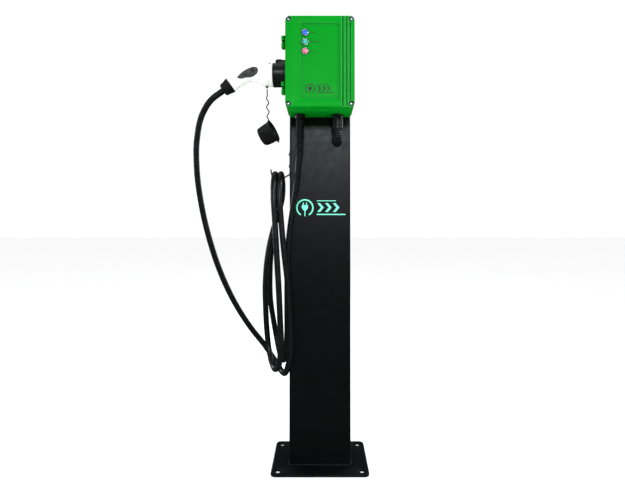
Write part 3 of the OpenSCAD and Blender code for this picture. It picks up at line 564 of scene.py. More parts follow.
def fill(mesh, loops):
    """Flat face between an outer ring and the rings of its holes."""
    edges = []
    for loop in loops:
        for k in range(len(loop)):
            pair = (loop[k], loop[(k + 1) % len(loop)])
            edges.append(mesh.edges.get(pair) or mesh.edges.new(pair))
    bmesh.ops.triangle_fill(mesh, use_beauty=True, use_dissolve=False, edges=edges)


def plate(mesh, outlines, low, high, bevel, place):
    """Flat plate between two heights, from an outline and those of its holes, with rounded rims.
    Each outline is a function of how far it draws back into the plate."""
    tops, bottoms = [], []
    for outline in outlines:
        steps = [(bevel, low), (bevel * 0.3, low + bevel * 0.3), (0, low + bevel),
                 (0, high - bevel), (bevel * 0.3, high - bevel * 0.3), (bevel, high)]
        rings = [[mesh.verts.new(place @ Vector((x, y, h))) for x, y in outline(back)]
                 for back, h in steps]
        for a, b in zip(rings, rings[1:]):
            bridge(mesh, a, b)
        bottoms.append(rings[0])
        tops.append(rings[-1])
    fill(mesh, bottoms)
    fill(mesh, tops)


def moved(loop, x, y):
    """The loop moved aside."""
    return [(px + x, py + y) for px, py in loop]


def screw(mesh, head, direction, head_r, head_h, shank_r, shank_l, socket_r, domed=0.35):
    """Screw with a rounded head and a six-sided socket. Head is the middle of its seat, and
    direction points out of the head."""
    steps = 24
    place = facing(head, direction)
    rim = head_h * (1 - domed)
    profile = [(0.02, -shank_l), (shank_r * 0.7, -shank_l), (shank_r, -shank_l + shank_r * 0.5),
               (shank_r, 0), (head_r, 0), (head_r, rim * 0.85), (head_r * 0.96, rim)]
    for k in (1, 2, 3):
        a = math.pi / 2 * k / 3.4
        profile.append((head_r * 0.96 * math.cos(a * 0.62), rim + head_h * domed * math.sin(a)))
    rings = [[place @ Vector((x, y, h)) for x, y in circle_loop(r, steps)] for r, h in profile]

    def hexagon(radius, height):
        ring = []
        for k in range(steps):
            a = 2 * math.pi * k / steps
            near = (a + math.pi / 6) % (math.pi / 3) - math.pi / 6
            r = radius * math.cos(math.pi / 6) / math.cos(near)
            ring.append(place @ Vector((r * math.cos(a), r * math.sin(a), height)))
        return ring

    rings += [hexagon(socket_r * 1.12, head_h), hexagon(socket_r, head_h - 0.2),
              hexagon(socket_r * 0.97, head_h * 0.35), hexagon(0.05, head_h * 0.25)]
    loft(mesh, rings)


def carve(solid, tools):
    """The solid mesh with the tool meshes cut away."""
    scene = bpy.context.scene
    made = []
    for mesh in (solid, *tools):
        bmesh.ops.recalc_face_normals(mesh, faces=mesh.faces)
        data = bpy.data.meshes.new("blank")
        mesh.to_mesh(data)
        mesh.free()
        item = bpy.data.objects.new("blank", data)
        scene.collection.objects.link(item)
        made.append(item)
    for tool in made[1:]:
        cut = made[0].modifiers.new("cut", "BOOLEAN")
        cut.operation, cut.solver, cut.object = "DIFFERENCE", "EXACT", tool
    bpy.context.view_layer.update()
    carved = made[0].evaluated_get(bpy.context.evaluated_depsgraph_get()).to_mesh()
    result = bmesh.new()
    result.from_mesh(carved)
    for item in made:
        data = item.data
        bpy.data.objects.remove(item)
        bpy.data.meshes.remove(data)
    return result


def piece(name, mesh, material, body, replaces=(), sharp=35.0, blend=None):
    """Places a finished mesh as one piece, in metres, on a body of the frame."""
    bmesh.ops.remove_doubles(mesh, verts=mesh.verts, dist=0.0005)
    bmesh.ops.recalc_face_normals(mesh, faces=mesh.faces)
    bmesh.ops.transform(mesh, matrix=Matrix.Scale(1 / METRE, 4), verts=mesh.verts)
    limit = math.radians(sharp)
    for face in mesh.faces:
        face.smooth = True
    for edge in mesh.edges:
        edge.smooth = edge.calc_face_angle(0) < limit
    data = bpy.data.meshes.new(name)
    mesh.to_mesh(data)
    mesh.free()
    made = bpy.data.objects.new(name, data)
    bpy.context.scene.collection.objects.link(made)
    data.materials.append(material)
    if blend is None:
        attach(made, body)
    else:
        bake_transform(made)
    if replaces:
        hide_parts(*replaces)
    return made


def dress(node, material):
    """Gives a node of the frame its finish."""
    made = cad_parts[node]
    made.data.materials.clear()
    made.data.materials.append(material)


# ---- Stage and camera --------------------------------------------------------------------------


class MakeStage(bpy.types.Operator):
    """Make the camera, the soft lights and the pale floor"""

    bl_idname = "charging_post.make_stage"
    bl_label = "Stage and camera"

    def execute(self, context):
        scene = context.scene
        scene.view_settings.view_transform = "Standard"
        camera = bpy.data.objects.new("camera", bpy.data.cameras.new("camera"))
        scene.collection.objects.link(camera)
        camera.location = (0.0013, -1.3475, 0.776)
        camera.rotation_euler = (math.radians(90.838), 0.0, 0.0)
        camera.data.sensor_width = 36.0
        camera.data.lens = 22.9
        camera.data.shift_x = -0.0126
        camera.data.shift_y = -0.0448
        scene.camera = camera
        self.lights(scene)
        self.floor(scene)
        self.surroundings(scene)
        return {"FINISHED"}

    def lights(self, scene):
        for name, (place, target, size, energy) in LAMPS.items():
            lamp = bpy.data.lights.new(name, "AREA")
            lamp.shape, lamp.color, lamp.energy = "RECTANGLE", LAMP_COLOUR, energy
            lamp.size, lamp.size_y = size
            made = bpy.data.objects.new(name, lamp)
            made.location = place
            aim = Vector(target) - Vector(place)
            made.rotation_euler = aim.to_track_quat("-Z", "Y").to_euler()
            scene.collection.objects.link(made)

    def floor(self, scene):
        mesh = bmesh.new()
        bmesh.ops.create_grid(mesh, x_segments=1, y_segments=1, size=30.0)
        data = bpy.data.meshes.new("floor")
        mesh.to_mesh(data)
        mesh.free()
        made = bpy.data.objects.new("floor", data)
        scene.collection.objects.link(made)
        material = finish("floor_pale", (0.96, 0.96, 0.96), 0.75, specular=0.1, mottle=0.01,
                          mottle_scale=1.2, grain=0.05, grain_scale=60, grain_depth=0.001)
        tree = material.node_tree
        surface = find_node(tree, "BSDF_PRINCIPLED")
        shaded = add_node(tree, "ShaderNodeBsdfDiffuse", {"Color": (0.05, 0.05, 0.05, 1)})
        out = find_node(tree, "OUTPUT_MATERIAL")
        tree.links.new(seen_or_mirrored(tree, surface, shaded), out.inputs["Surface"])
        data.materials.append(material)

    def surroundings(self, scene):
        world = bpy.data.worlds.new("surroundings")
        world.use_nodes = True
        tree = world.node_tree
        tree.nodes.clear()
        seen, mirrored = (
            add_node(tree, "ShaderNodeBackground", {"Color": (1, 1, 1, 1), "Strength": strength})
            for strength in (ROOM_SEEN, ROOM_MIRRORED))
        add_node(tree, "ShaderNodeOutputWorld", {"Surface": seen_or_mirrored(tree, seen, mirrored)})
        scene.world = world


# ---- Cords -------------------------------------------------------------------------------------


class MakeCable(bpy.types.Operator):
    """Make the charging cable, in two turns over the hook"""

    bl_idname = "charging_post.make_cable"
    bl_label = "Charging cable"

    def execute(self, context):
        own = sizes()
        line = smooth_line(CABLE_ROUTE, 7.5)
        mesh = bmesh.new()
        tube(mesh, line, own.cable_diameter / 2 * METRE, sides=20)
        cable = piece("charging_cable_jacket", mesh, cable_black(), None,
                      ["charging_cable"],
                      blend=("post", "gun", (-0.190, -0.088, 1.2), (-0.295, -0.088, 1.2)))
        return {"FINISHED"}


class MakeCap(bpy.types.Operator):
    """Make the connector's rubber cap and its lanyard"""

    bl_idname = "charging_post.make_cap"
    bl_label = "Cap and lanyard"

    def execute(self, context):
        own = sizes()
        self.cap()
        steps, waves, drop = 78, 3.4, Vector((4.5, 0, -103))
        line = []
        for i in range(steps + 1):
            t = i / steps
            swing = max(0, min(1, (t - 0.16) * 6, (1 - t) * 8))
            a = math.radians(360 * waves * t - 70)
            line.append(PIVOT + Vector((0, 0, -1)) + t * drop
                        + Vector((3.6 * swing * math.sin(a), 2.2 * swing * math.cos(a), 0)))
        mesh = bmesh.new()
        tube(mesh, line, own.lanyard_diameter / 2 * METRE, sides=12)
        lanyard = piece("cap_lanyard", mesh, rubber_black(), "cap", ["lanyard"])
        return {"FINISHED"}

    def cap(self):
        yaw = Matrix.Rotation(math.radians(-13), 4, "Z")
        tilt = Matrix.Rotation(math.radians(65.3), 4, "Y")
        place = Matrix.Translation(PIVOT + Vector((-18.6, 5, -155))) @ (yaw @ tilt)
        mesh = bmesh.new()
        lathe(mesh, [(0, 0.8), (12, 0.6), (16, 0), (23, 0), (26, 0.7), (27.8, 2.2), (29, 5),
                     (29.6, 9), (32.7, 38), (33.2, 39.6), (34.2, 40.6), (34.5, 41.6), (34.5, 46.6),
                     (34, 47.7), (33.2, 48), (32.4, 47.6), (31.7, 46.4), (31.3, 41), (30.8, 38),
                     (30.2, 36.8), (29.6, 34), (26.6, 7), (25.4, 4.2), (23, 3.1), (0, 3)],
              place, steps=72)
        soft_box(mesh, (-39, -4, 42.6), (-32.8, 4, 47.4), 1.2, place)
        soft_box(mesh, (33.2, -5, 42.8), (40.2, 5, 47.6), 1.4, place)
        for k in range(3):
            a = math.radians(30 + 120 * k)
            wedge = place @ Matrix.Rotation(a, 4, "Z")
            soft_box(mesh, (27.2, -1, 8), (30.2, 1, 30), 0.5,
                     wedge @ Matrix.Rotation(math.radians(5.6), 4, "Y"))
        piece("connector_cap", mesh, rubber_black(), "cap", ["cap"])


# ---- Foot, column and hook ---------------------------------------------------------------------


class MakeFoot(bpy.types.Operator):
    """Make the base plate and the weld round the column's foot"""

    bl_idname = "charging_post.make_foot"
    bl_label = "Foot"

    def execute(self, context):
        width, depth, top = PLATE_HIGH.x - PLATE_LOW.x, PLATE_HIGH.y - PLATE_LOW.y, PLATE_HIGH.z
        inset, hole_r = 22, 8
        outlines = [lambda back: rounded_loop(width - 2 * back, depth - 2 * back, 15 - back)]
        for sx in (-1, 1):
            for sy in (-1, 1):
                spot = (sx * (width / 2 - inset), sy * (depth / 2 - inset))
                outlines.append(lambda back, s=spot: moved(circle_loop(hole_r + back, 36), *s))
        outlines.append(lambda back: rounded_loop(150 + 2 * back, 56 + 2 * back, 8 + back))
        mesh = bmesh.new()
        plate(mesh, outlines, 0, top, 0.9, Matrix())
        piece("foot_plate", mesh, powder_coat(), "post", ["base_plate"])
        self.weld(top)
        return {"FINISHED"}

    def weld(self, top):
        pitch = sizes().weld_pitch * METRE
        outline = rounded_loop(COLUMN_HIGH.x * 2 + 1.4, COLUMN_HIGH.y * 2 + 1.4, 7, corner=10)
        corners = [Vector((x, y, top + 0.7)) for x, y in outline]
        line, walked = [], 0.0
        for a, b in zip(corners, corners[1:] + corners[:1]):
            count = max(1, round((b - a).length / 0.8))
            for k in range(count):
                line.append(a.lerp(b, k / count))
        marks = []
        for a, b in zip(line, line[1:] + line[:1]):
            marks.append(walked)
            walked += (b - a).length

        def ripple(i, share):
            phase = (marks[i] / pitch + 0.35 * math.cos(2 * math.pi * share)) % 1.0
            bulge, drift = math.sqrt(1 - (2 * phase - 1) ** 2), math.sin(marks[i] * 0.113)
            return 1.75 + 0.42 * bulge + 0.12 * drift

        mesh = bmesh.new()
        tube(mesh, line, ripple, sides=12, closed=True)
        piece("foot_weld", mesh, powder_coat(), "post", ["weld_bead"])


class MakeColumn(bpy.types.Operator):
    """Finish the column, its top cap and rear cover, and print the mark on its front"""

    bl_idname = "charging_post.make_column"
    bl_label = "Column"

    def execute(self, context):
        dress("column", powder_coat())
        dress("column_cap", moulded_black())
        dress("rear_cover", powder_coat())
        low, high = span("rear_cover_screws")
        mesh = bmesh.new()
        for x in (low.x + 4.5, high.x - 4.5):
            for z in (low.z + 4.5, high.z - 4.5):
                screw(mesh, (x, high.y - 2.8, z), (0, 1, 0), 4.5, 2.8, 2.5, 8, 1.8)
        piece("cover_screws", mesh, zinc(), "post", ["rear_cover_screws"])
        # The mint mark gets a painted glow in its own colour
        make_mark("column_mark", "post", 3.5, COLUMN_LOW.y, 841.5, 163,
                  print_ink("mark_mint", colours().mark, 0.1))
        return {"FINISHED"}


def make_mark(name, body, x, y, z, width, material):
    """A plug in a ring, three chevrons and two lines, printed on a front face."""
    unit = width / 160
    upright = Matrix.Rotation(math.radians(90), 4, "X")
    place = Matrix.Translation((x, y, z)) @ upright @ Matrix.Scale(unit, 4)
    thick = 0.18 / unit
    mesh = bmesh.new()

    def slab(points):
        loft(mesh, [[place @ Vector((px, py, -thick)) for px, py in points],
                    [place @ Vector((px, py, thick)) for px, py in points]])

    def arc(cx, cy, outer, inner, start, sweep, steps=48):
        rings = []
        for k in range(steps + 1):
            a = math.radians(start + sweep * k / steps)
            c, s = math.cos(a), math.sin(a)
            rings.append([place @ Vector((cx + r * c, cy + r * s, h))
                          for r, h in ((inner, -thick), (outer, -thick), (outer, thick),
                                       (inner, thick))])
        loft(mesh, rings)

    arc(-52, 0, 28, 23.5, start=-60, sweep=300)
    slab([(-62, 9), (-42, 9), (-42, 1), (-45, -6), (-50, -9), (-54, -9), (-59, -6), (-62, 1)])
    for px in (-58.5, -48.5):
        slab([(px, 9), (px + 3, 9), (px + 3, 17), (px, 17)])
    slab([(-53.6, -9), (-50.4, -9), (-50.4, -27), (-53.6, -27)])
    for k in range(3):
        px, reach = -12 + 25 * k, 12
        slab([(px, 15), (px + 9, 15), (px + 9 + reach, 1), (px + 9, -13), (px, -13),
              (px + reach, 1)])
    slab([(-14, -23), (78, -23), (78, -19.4), (-14, -19.4)])
    slab([(-14, 21.5), (48, 21.5), (48, 23.8), (-14, 23.8)])
    return piece(name, mesh, material, body)


class MakeHook(bpy.types.Operator):
    """Make the rod hook that the cable hangs on"""

    bl_idname = "charging_post.make_hook"
    bl_label = "Cable hook"

    def execute(self, context):
        bottom, top, rod_r, screw_zs = 945, 1038, 2.5, (985, 1025)
        plate_x = COLUMN_LOW.x - 3
        mid = plate_x + 1.5
        corners = [(0, 958), (-20, 946), (-54.5, 946), (-62, 953), (-65, 972)]
        route = [Vector((mid + x, 0, z)) for x, z in corners]
        line = [route[0]]
        for a, b, c in zip(route, route[1:], route[2:]):
            trim = min(5.0, (b - a).length * 0.45, (c - b).length * 0.45)
            start, end = b + (a - b).normalized() * trim, b + (c - b).normalized() * trim
            line += [start.lerp(b, t).lerp(b.lerp(end, t), t) for t in (0, 0.25, 0.5, 0.75, 1)]
        line.append(route[-1])
        ends = [line[-1] + (line[-1] - line[-2]).normalized() * d for d in (1.2, 2.0, 2.4)]
        count = len(line)
        taper = {count: 2.3, count + 1: 1.6, count + 2: 0.5}
        mesh = bmesh.new()
        tube(mesh, line + ends, lambda i, share: taper.get(i, rod_r), sides=20)
        turn = Matrix.Rotation(math.radians(90), 4, "Y")
        side = Matrix.Translation((plate_x, 0, (bottom + top) / 2)) @ turn
        outlines = [lambda back: rounded_loop(top - bottom - 2 * back, 30 - 2 * back, 5 - back)]
        for z in screw_zs:
            spot = ((bottom + top) / 2 - z, 0)
            outlines.append(lambda back, s=spot: moved(circle_loop(3.1 + back, 24), *s))
        plate(mesh, outlines, 0, 3, 0.5, side)
        piece("hook_rod", mesh, powder_coat(), "post", ["cable_hook"])
        mesh = bmesh.new()
        for z in screw_zs:
            screw(mesh, (plate_x, 0, z), (-1, 0, 0), 5.2, 3.2, 3, 11, 2.3)
        piece("hook_screws", mesh, powder_coat(), "post", ["hook_bolts"])
        return {"FINISHED"}


# ---- Charger box -------------------------------------------------------------------------------


def box_ring(back, y):
    """Ring of the box's outline, drawn back from its sides, at one depth."""
    return [Vector((x, y, z + BOX_MID))
            for x, z in rounded_loop(BOX_W - 2 * back, BOX_H - 2 * back, max(BOX_R - back, 1),
                                     corner=10)]


def knuckle(mesh, z0, z1, wall_y0, wall_y1):
    """Hinge knuckle between two heights, with its arm to the box's side."""
    place = Matrix.Translation((HINGE_X, HINGE_Y, z0))
    tall = z1 - z0
    lathe(mesh, [(2.05, 0), (5.3, 0), (KNUCKLE_R, 0.7), (KNUCKLE_R, tall - 0.7), (5.3, tall),
                 (2.05, tall)], place, steps=32, closed=True)
    soft_box(mesh, (HINGE_X, wall_y0, z0 + 0.2), (-BOX_W / 2 + 1, wall_y1, z1 - 0.2), 0.8)


class MakeBox(bpy.types.Operator):
    """Make the back half of the charger box with its posts, hinges and fixing screws"""

    bl_idname = "charging_post.make_box"
    bl_label = "Box"

    def execute(self, context):
        mesh = bmesh.new()
        rings = [(3.8, BASE_FLOOR), (3.2, BASE_FLOOR - 0.3), (3, BASE_FLOOR - 1.2),
                 (3, BASE_FRONT + 0.4), (2.7, BASE_FRONT), (0.6, BASE_FRONT), (0, BASE_FRONT + 0.7),
                 (0, BASE_BACK - 2.5), (0.3, BASE_BACK - 1.2), (1.2, BASE_BACK - 0.3),
                 (2.5, BASE_BACK)]
        loft(mesh, [box_ring(back, y) for back, y in rings])
        post_foot = BASE_FLOOR + 2
        length, thread = post_foot - BASE_FRONT - 0.2, 18
        for x, z in SCREW_SPOTS:
            lathe(mesh, [(2.65, length - thread), (2.65, length - 0.4), (3, length), (6.2, length),
                         (6.8, length - 0.6), (6.8, 0), (0, 0), (0, length - thread)],
                  facing((x, post_foot, z), (0, -1, 0)), steps=32)
        for z in HINGE_ZS:
            knuckle(mesh, z - 5.6, z + 5.6, HINGE_Y, HINGE_Y + 12)
        piece("box_shell", mesh, housing_green(), "post", ["box_base"])
        dress("lid_gasket", rubber_black())
        dress("hinge_pins", zinc())
        mesh = bmesh.new()
        for x in (-60, 60):
            for z in (-80, 80):
                screw(mesh, (x, BASE_FLOOR, BOX_MID + z), (0, -1, 0), 4.5, 2.8, 2.5, 12, 1.8)
        piece("box_fixing_screws", mesh, zinc(), "post", ["box_mount_screws"])
        return {"FINISHED"}


class MakeLid(bpy.types.Operator):
    """Make the lid with its sunk panel and flutes, its screws, indicators and printing"""

    bl_idname = "charging_post.make_lid"
    bl_label = "Lid"

    def execute(self, context):
        self.shell()
        mesh = bmesh.new()
        for x, z in SCREW_SPOTS:
            screw(mesh, (x, LID_SEAT, z), (0, -1, 0), 4.8, 3, 2, 38.4, 2.4, domed=0.3)
        piece("lid_fixing_screws", mesh, zinc(), "lid", ["lid_screws"])
        self.indicators()
        make_mark("lid_mark", "lid", -1, LID_PANEL, BOX_MID - 83, 88,
                  print_ink("mark_dark", (0.0, 0.012, 0.010)))
        return {"FINISHED"}

    def shell(self):
        mesh = bmesh.new()
        rings = [(3.8, LID_SEAT), (3, LID_SEAT + 0.8), (3, LID_BACK - 0.4), (2.6, LID_BACK),
                 (0.6, LID_BACK), (0, LID_BACK - 0.7)]
        edge = 3.2
        for k in range(7):
            a = math.pi / 2 * k / 6
            rings.append((edge * (1 - math.cos(a)), LID_FRONT + edge * (1 - math.sin(a))))
        loft(mesh, [box_ring(back, y) for back, y in rings])
        wide, tall = 113, BOX_H - 52
        panel = bmesh.new()
        rims = [(0, LID_PANEL), (0.5, LID_FRONT + 2.2), (1.6, LID_FRONT + 0.6),
                (2.4, LID_FRONT + 0.05), (3.2, LID_FRONT - 0.3), (3.2, LID_FRONT - 2)]
        loft(panel, [[Vector((x, y, z + BOX_MID))
                      for x, z in rounded_loop(wide + 2 * out, tall + 2 * out, 4 + out)]
                     for out, y in rims])
        tools = [panel]
        first_flute, flute_pitch, flute_r, flute_half = 68.5, 11.2, 3.6, 160
        for k in range(3):
            flute = bmesh.new()
            lathe(flute, [(0, -flute_half), (flute_r, -flute_half), (flute_r, flute_half),
                          (0, flute_half)],
                  Matrix.Translation((first_flute + flute_pitch * k, LID_FRONT - 1.2, BOX_MID)),
                  steps=40)
            tools.append(flute)
        for x, z in SCREW_SPOTS:
            well = bmesh.new()
            lathe(well, [(0, 0), (7.2, 0), (7.7, 0.5), (7.9, 4.2), (8.5, 5.2), (8.5, 9), (0, 9)],
                  facing((x, LID_SEAT, z), (0, -1, 0)), steps=48)
            tools.append(well)
        mesh = carve(mesh, tools)
        for x, z in SCREW_SPOTS:
            lathe(mesh, [(2.65, 0.3), (3, 0), (6.4, 0), (6.8, 0.4), (6.8, 29), (2.65, 29)],
                  facing((x, LID_BACK, z), (0, -1, 0)), steps=32, closed=True)
        for z in HINGE_ZS:
            for low, high in ((z - HINGE_REACH, z - 6), (z + 6, z + HINGE_REACH)):
                knuckle(mesh, low, high, LID_BACK - 9, HINGE_Y - 6.5)
            for low, high in ((z - HINGE_REACH, z - 6), (z + 6, z + HINGE_REACH)):
                soft_box(mesh, (HINGE_X - KNUCKLE_R, LID_BACK - 9, low),
                         (HINGE_X + KNUCKLE_R, HINGE_Y - 2.4, high), 0.8)
        piece("lid_shell", mesh, housing_green(), "lid", ["box_lid"], sharp=28)

    def indicators(self):
        x = (BEZEL_LOW.x + BEZEL_HIGH.x) / 2
        bezel_r = 10.4
        zs = (BEZEL_HIGH.z - bezel_r, (BEZEL_LOW.z + BEZEL_HIGH.z) / 2, BEZEL_LOW.z + bezel_r)
        mesh = bmesh.new()
        for z in zs:
            lathe(mesh, [(7, -1), (7, 1.2), (7.6, 1.7), (8.6, 2.4), (9.3, 2.5), (9.9, 2.2),
                         (bezel_r, 1.4), (bezel_r, 0), (8, 0), (8, -18), (7, -18)],
                  facing((x, LID_PANEL, z), (0, -1, 0)), steps=64, closed=True)
        piece("indicator_rings", mesh, satin_chrome(), "lid", ["indicator_bezels"])
        for name, z, colour in zip(("lens_blue", "lens_green", "lens_red"), zs, (
                (0.01, 0.10, 0.80), (0.02, 0.36, 0.30), (0.80, 0.16, 0.24))):
            mesh = bmesh.new()
            lathe(mesh, [(0, -1), (7, -1), (7, 1.9), (6.8, 2.6), (6, 3.3), (4.6, 4), (2.6, 4.5),
                         (0, 4.7)],
                  facing((x, LID_PANEL, z), (0, -1, 0)), steps=48)
            piece(name + "_dome", mesh, lens_finish(name, colour), "lid", [name])
        dress("indicator_nuts", zinc())
        start = x + 16
        for k, (z, length) in enumerate(zip(zs, (15, 25, 13))):
            mesh = bmesh.new()
            soft_box(mesh, (start, LID_PANEL - 0.25, z - 0.9),
                     (start + length, LID_PANEL + 0.2, z + 0.9), 0.1, segments=1)
            piece(f"indicator_label_{k + 1}", mesh, print_ink("label_ink", (0.0, 0.035, 0.01)),
                  "lid")


# ---- Inside the box ----------------------------------------------------------------------------


class MakeEquipment(bpy.types.Operator):
    """Finish the equipment inside the box and lay its wires"""

    bl_idname = "charging_post.make_equipment"
    bl_label = "Equipment"

    def execute(self, context):
        for node in ("rcbo_body", "contactor", "power_supply", "terminal_block"):
            dress(node, device_grey())
        dress("rcbo_lever", toggle_blue())
        dress("controller_board", board_green())
        dress("board_parts", moulded_black())
        for node in ("earth_bar", "board_standoffs"):
            dress(node, brass())
        dress("din_rail", zinc())
        self.terminals()
        self.wires()
        return {"FINISHED"}

    def terminals(self):
        mesh = bmesh.new()
        for node in ("rcbo_body", "contactor", "power_supply"):
            low, high = span(node)
            middle = (low.x + high.x) / 2
            for dx in (-9, 9):
                for z in (low.z + 10, high.z - 10):
                    screw(mesh, (middle + dx, low.y + 10, z), (0, -1, 0), 3.4, 1.2, 1, 1, 1.3)
        piece("device_terminals", mesh, zinc(), "post")
        mesh = bmesh.new()
        for node, tall in (("contactor", 22), ("power_supply", 28)):
            low, high = span(node)
            middle = (low.z + high.z) / 2
            soft_box(mesh, (low.x + 5, low.y - 0.3, middle - tall / 2),
                     (high.x - 5, low.y + 0.4, middle + tall / 2), 0.2, segments=1)
        piece("device_plates", mesh, finish("plate_grey", (0.25, 0.26, 0.28), 0.45, mottle=0.1),
              "post")

    def wires(self):
        low, high = span("internal_wires")
        top = span("rcbo_body")[1].z
        y = (low.y + high.y) / 2
        cores = {"wire_brown": (0.14, 0.06, 0.02), "wire_black": (0.01, 0.01, 0.01),
                 "wire_grey": (0.2, 0.2, 0.2), "wire_blue": (0.02, 0.08, 0.45)}
        for k, (name, colour) in enumerate(cores.items()):
            x0, x1, z = low.x + 1.6 + 8 * k, high.x - 25.6 + 8 * k, top + 9 + 5 * k
            mesh = bmesh.new()
            route = [(x0, y, top - 6), (x0, y, top + 2), (x0 + 3, y, z - 3), (x0 + 9, y, z),
                     (x1 - 9, y, z), (x1 - 3, y, z - 3), (x1, y, top + 2), (x1, y, top - 6)]
            tube(mesh, smooth_line(route, 2), 1.6, sides=12)
            piece(name, mesh, wire(name, colour), "post",
                  ["internal_wires"] if k == 0 else ())


# ---- Glands, bend protection and conduit -------------------------------------------------------


class MakeGlands(bpy.types.Operator):
    """Make both glands, the bend protection, and the conduit into the column"""

    bl_idname = "charging_post.make_glands"
    bl_label = "Glands and conduit"

    def execute(self, context):
        for node, name in (("cable_gland", "charging_gland"), ("supply_gland", "conduit_gland")):
            low, high = span(node)
            self.gland(name, node, (low.x + high.x) / 2, (low.y + high.y) / 2, low.z)
        for node in ("gland_locknut", "supply_locknut"):
            dress(node, moulded_black())
        self.coil()
        self.conduit()
        return {"FINISHED"}

    def gland(self, name, node, x, y, low):
        """Gland through the box's underside: thread, six-sided body, ridged dome nut, and a ribbed
        neck where it reaches further down."""
        under, bore, dome_low = BASE_LOW.z, 9.8, 14
        mesh = bmesh.new()
        place = Matrix.Translation((x, y, under))
        lathe(mesh, [(bore, 13.6), (12.1, 13.6), (12.5, 13), (12.5, 0), (bore, 0)], place,
              closed=True)
        lathe(mesh, [(bore, 0), (16, 0), (17, -0.8), (17, -5.2), (16, -6), (bore, -6)], place,
              steps=6, closed=True)
        steps, ridge = 72, 0.35
        dome = []
        for radius, z in ((bore, -6), (15, -6.2), (15, -10), (14.2, -13), (12, -dome_low),
                          (bore, -dome_low)):
            ridged = circle_loop(radius + ridge, steps)[::3]
            ring = circle_loop(radius, steps)
            ring[::3] = ridged
            dome.append([place @ Vector((px, py, z)) for px, py in ring])
        loft(mesh, dome, closed=True)
        if low < under - 20:
            neck = under - dome_low - low
            base = Matrix.Translation((x, y, low))
            profile = [(9, 0), (17.4, 0), (18, 0.6)]
            for k in range(4):
                z = 3 + k * (neck - 6) / 4
                profile += [(18, z), (16.9, z + 0.8), (16.9, z + 2.4), (18, z + 3.2)]
            profile += [(18, neck - 1), (17, neck), (9, neck)]
            lathe(mesh, profile, base, closed=True)
        piece(name, mesh, moulded_black(), "post", [node])

    def coil(self):
        """Moulded spiral round the cable below its gland."""
        low, high = span("bend_spiral")
        route = [p for p in smooth_line(CABLE_ROUTE[:8], 0.9) if low.z + 1 < p.z < high.z]
        pitch = sizes().coil_pitch * METRE
        line = [Vector((CABLE_ROUTE[0][0], CABLE_ROUTE[0][1], high.z))] + route
        marks = [0.0]
        for a, b in zip(line, line[1:]):
            marks.append(marks[-1] + (b - a).length)
        whole = marks[-1]

        def thread(i, share):
            phase = (marks[i] / pitch + share) % 1.0
            turn = 1 / (1 + math.exp(-14 * (math.sin(2 * math.pi * phase) + 0.1)))
            body = 12.1 - 1.5 * marks[i] / whole
            if 2 < marks[i] < whole - 2:
                return body - 1.6 + 2.7 * turn
            return body - 1.2

        mesh = bmesh.new()
        tube(mesh, line, thread, sides=36)
        piece("bend_coil", mesh, rubber_black(), "post", ["bend_spiral"], sharp=50)

    def conduit(self):
        """Ribbed elbow from the gland into the column, and the lead that comes up through it."""
        low, high = span("supply_gland")
        x, y, top = (low.x + high.x) / 2, (low.y + high.y) / 2, low.z
        end_y = span("supply_conduit")[1].y
        bend = COLUMN_LOW.y - y
        line = [Vector((x, y, top + 0.2))]
        steps = 66
        for k in range(steps + 1):
            a = math.pi / 2 * k / steps
            line.append(Vector((x, COLUMN_LOW.y - bend * math.cos(a), top - bend * math.sin(a))))
        line.append(Vector((x, end_y, top - bend)))

        def rib(i, share):
            raised = 1 / (1 + math.exp(-10 * math.cos(2 * math.pi * (i / 6.6 % 1.0))))
            return 14.3 + 1.7 * raised if i <= steps else 14.6

        mesh = bmesh.new()
        tube(mesh, line, rib, sides=40)
        piece("conduit_elbow", mesh, moulded_black(), "post", ["supply_conduit"],
              sharp=60)
        inside_y, turn = COLUMN_LOW.y + 44, 30
        route = [(x, inside_y, z) for z in (0, 300, 600, 900, top - bend - turn)]
        route += [(x, inside_y - turn + turn * math.cos(math.radians(a)),
                   top - bend - turn + turn * math.sin(math.radians(a))) for a in (30, 60, 90)]
        route += [(x, COLUMN_LOW.y - bend * math.sin(math.radians(a)),
                   top - bend * math.cos(math.radians(a)))
                  for a in (0, 30, 60, 90)]
        route.append((x, y, BASE_LOW.z + 24))
        mesh = bmesh.new()
        tube(mesh, smooth_line(route, 6), 8, sides=16)
        piece("supply_lead", mesh, cable_black(), "post", ["supply_cable"])


# ---- Holster and connector ---------------------------------------------------------------------


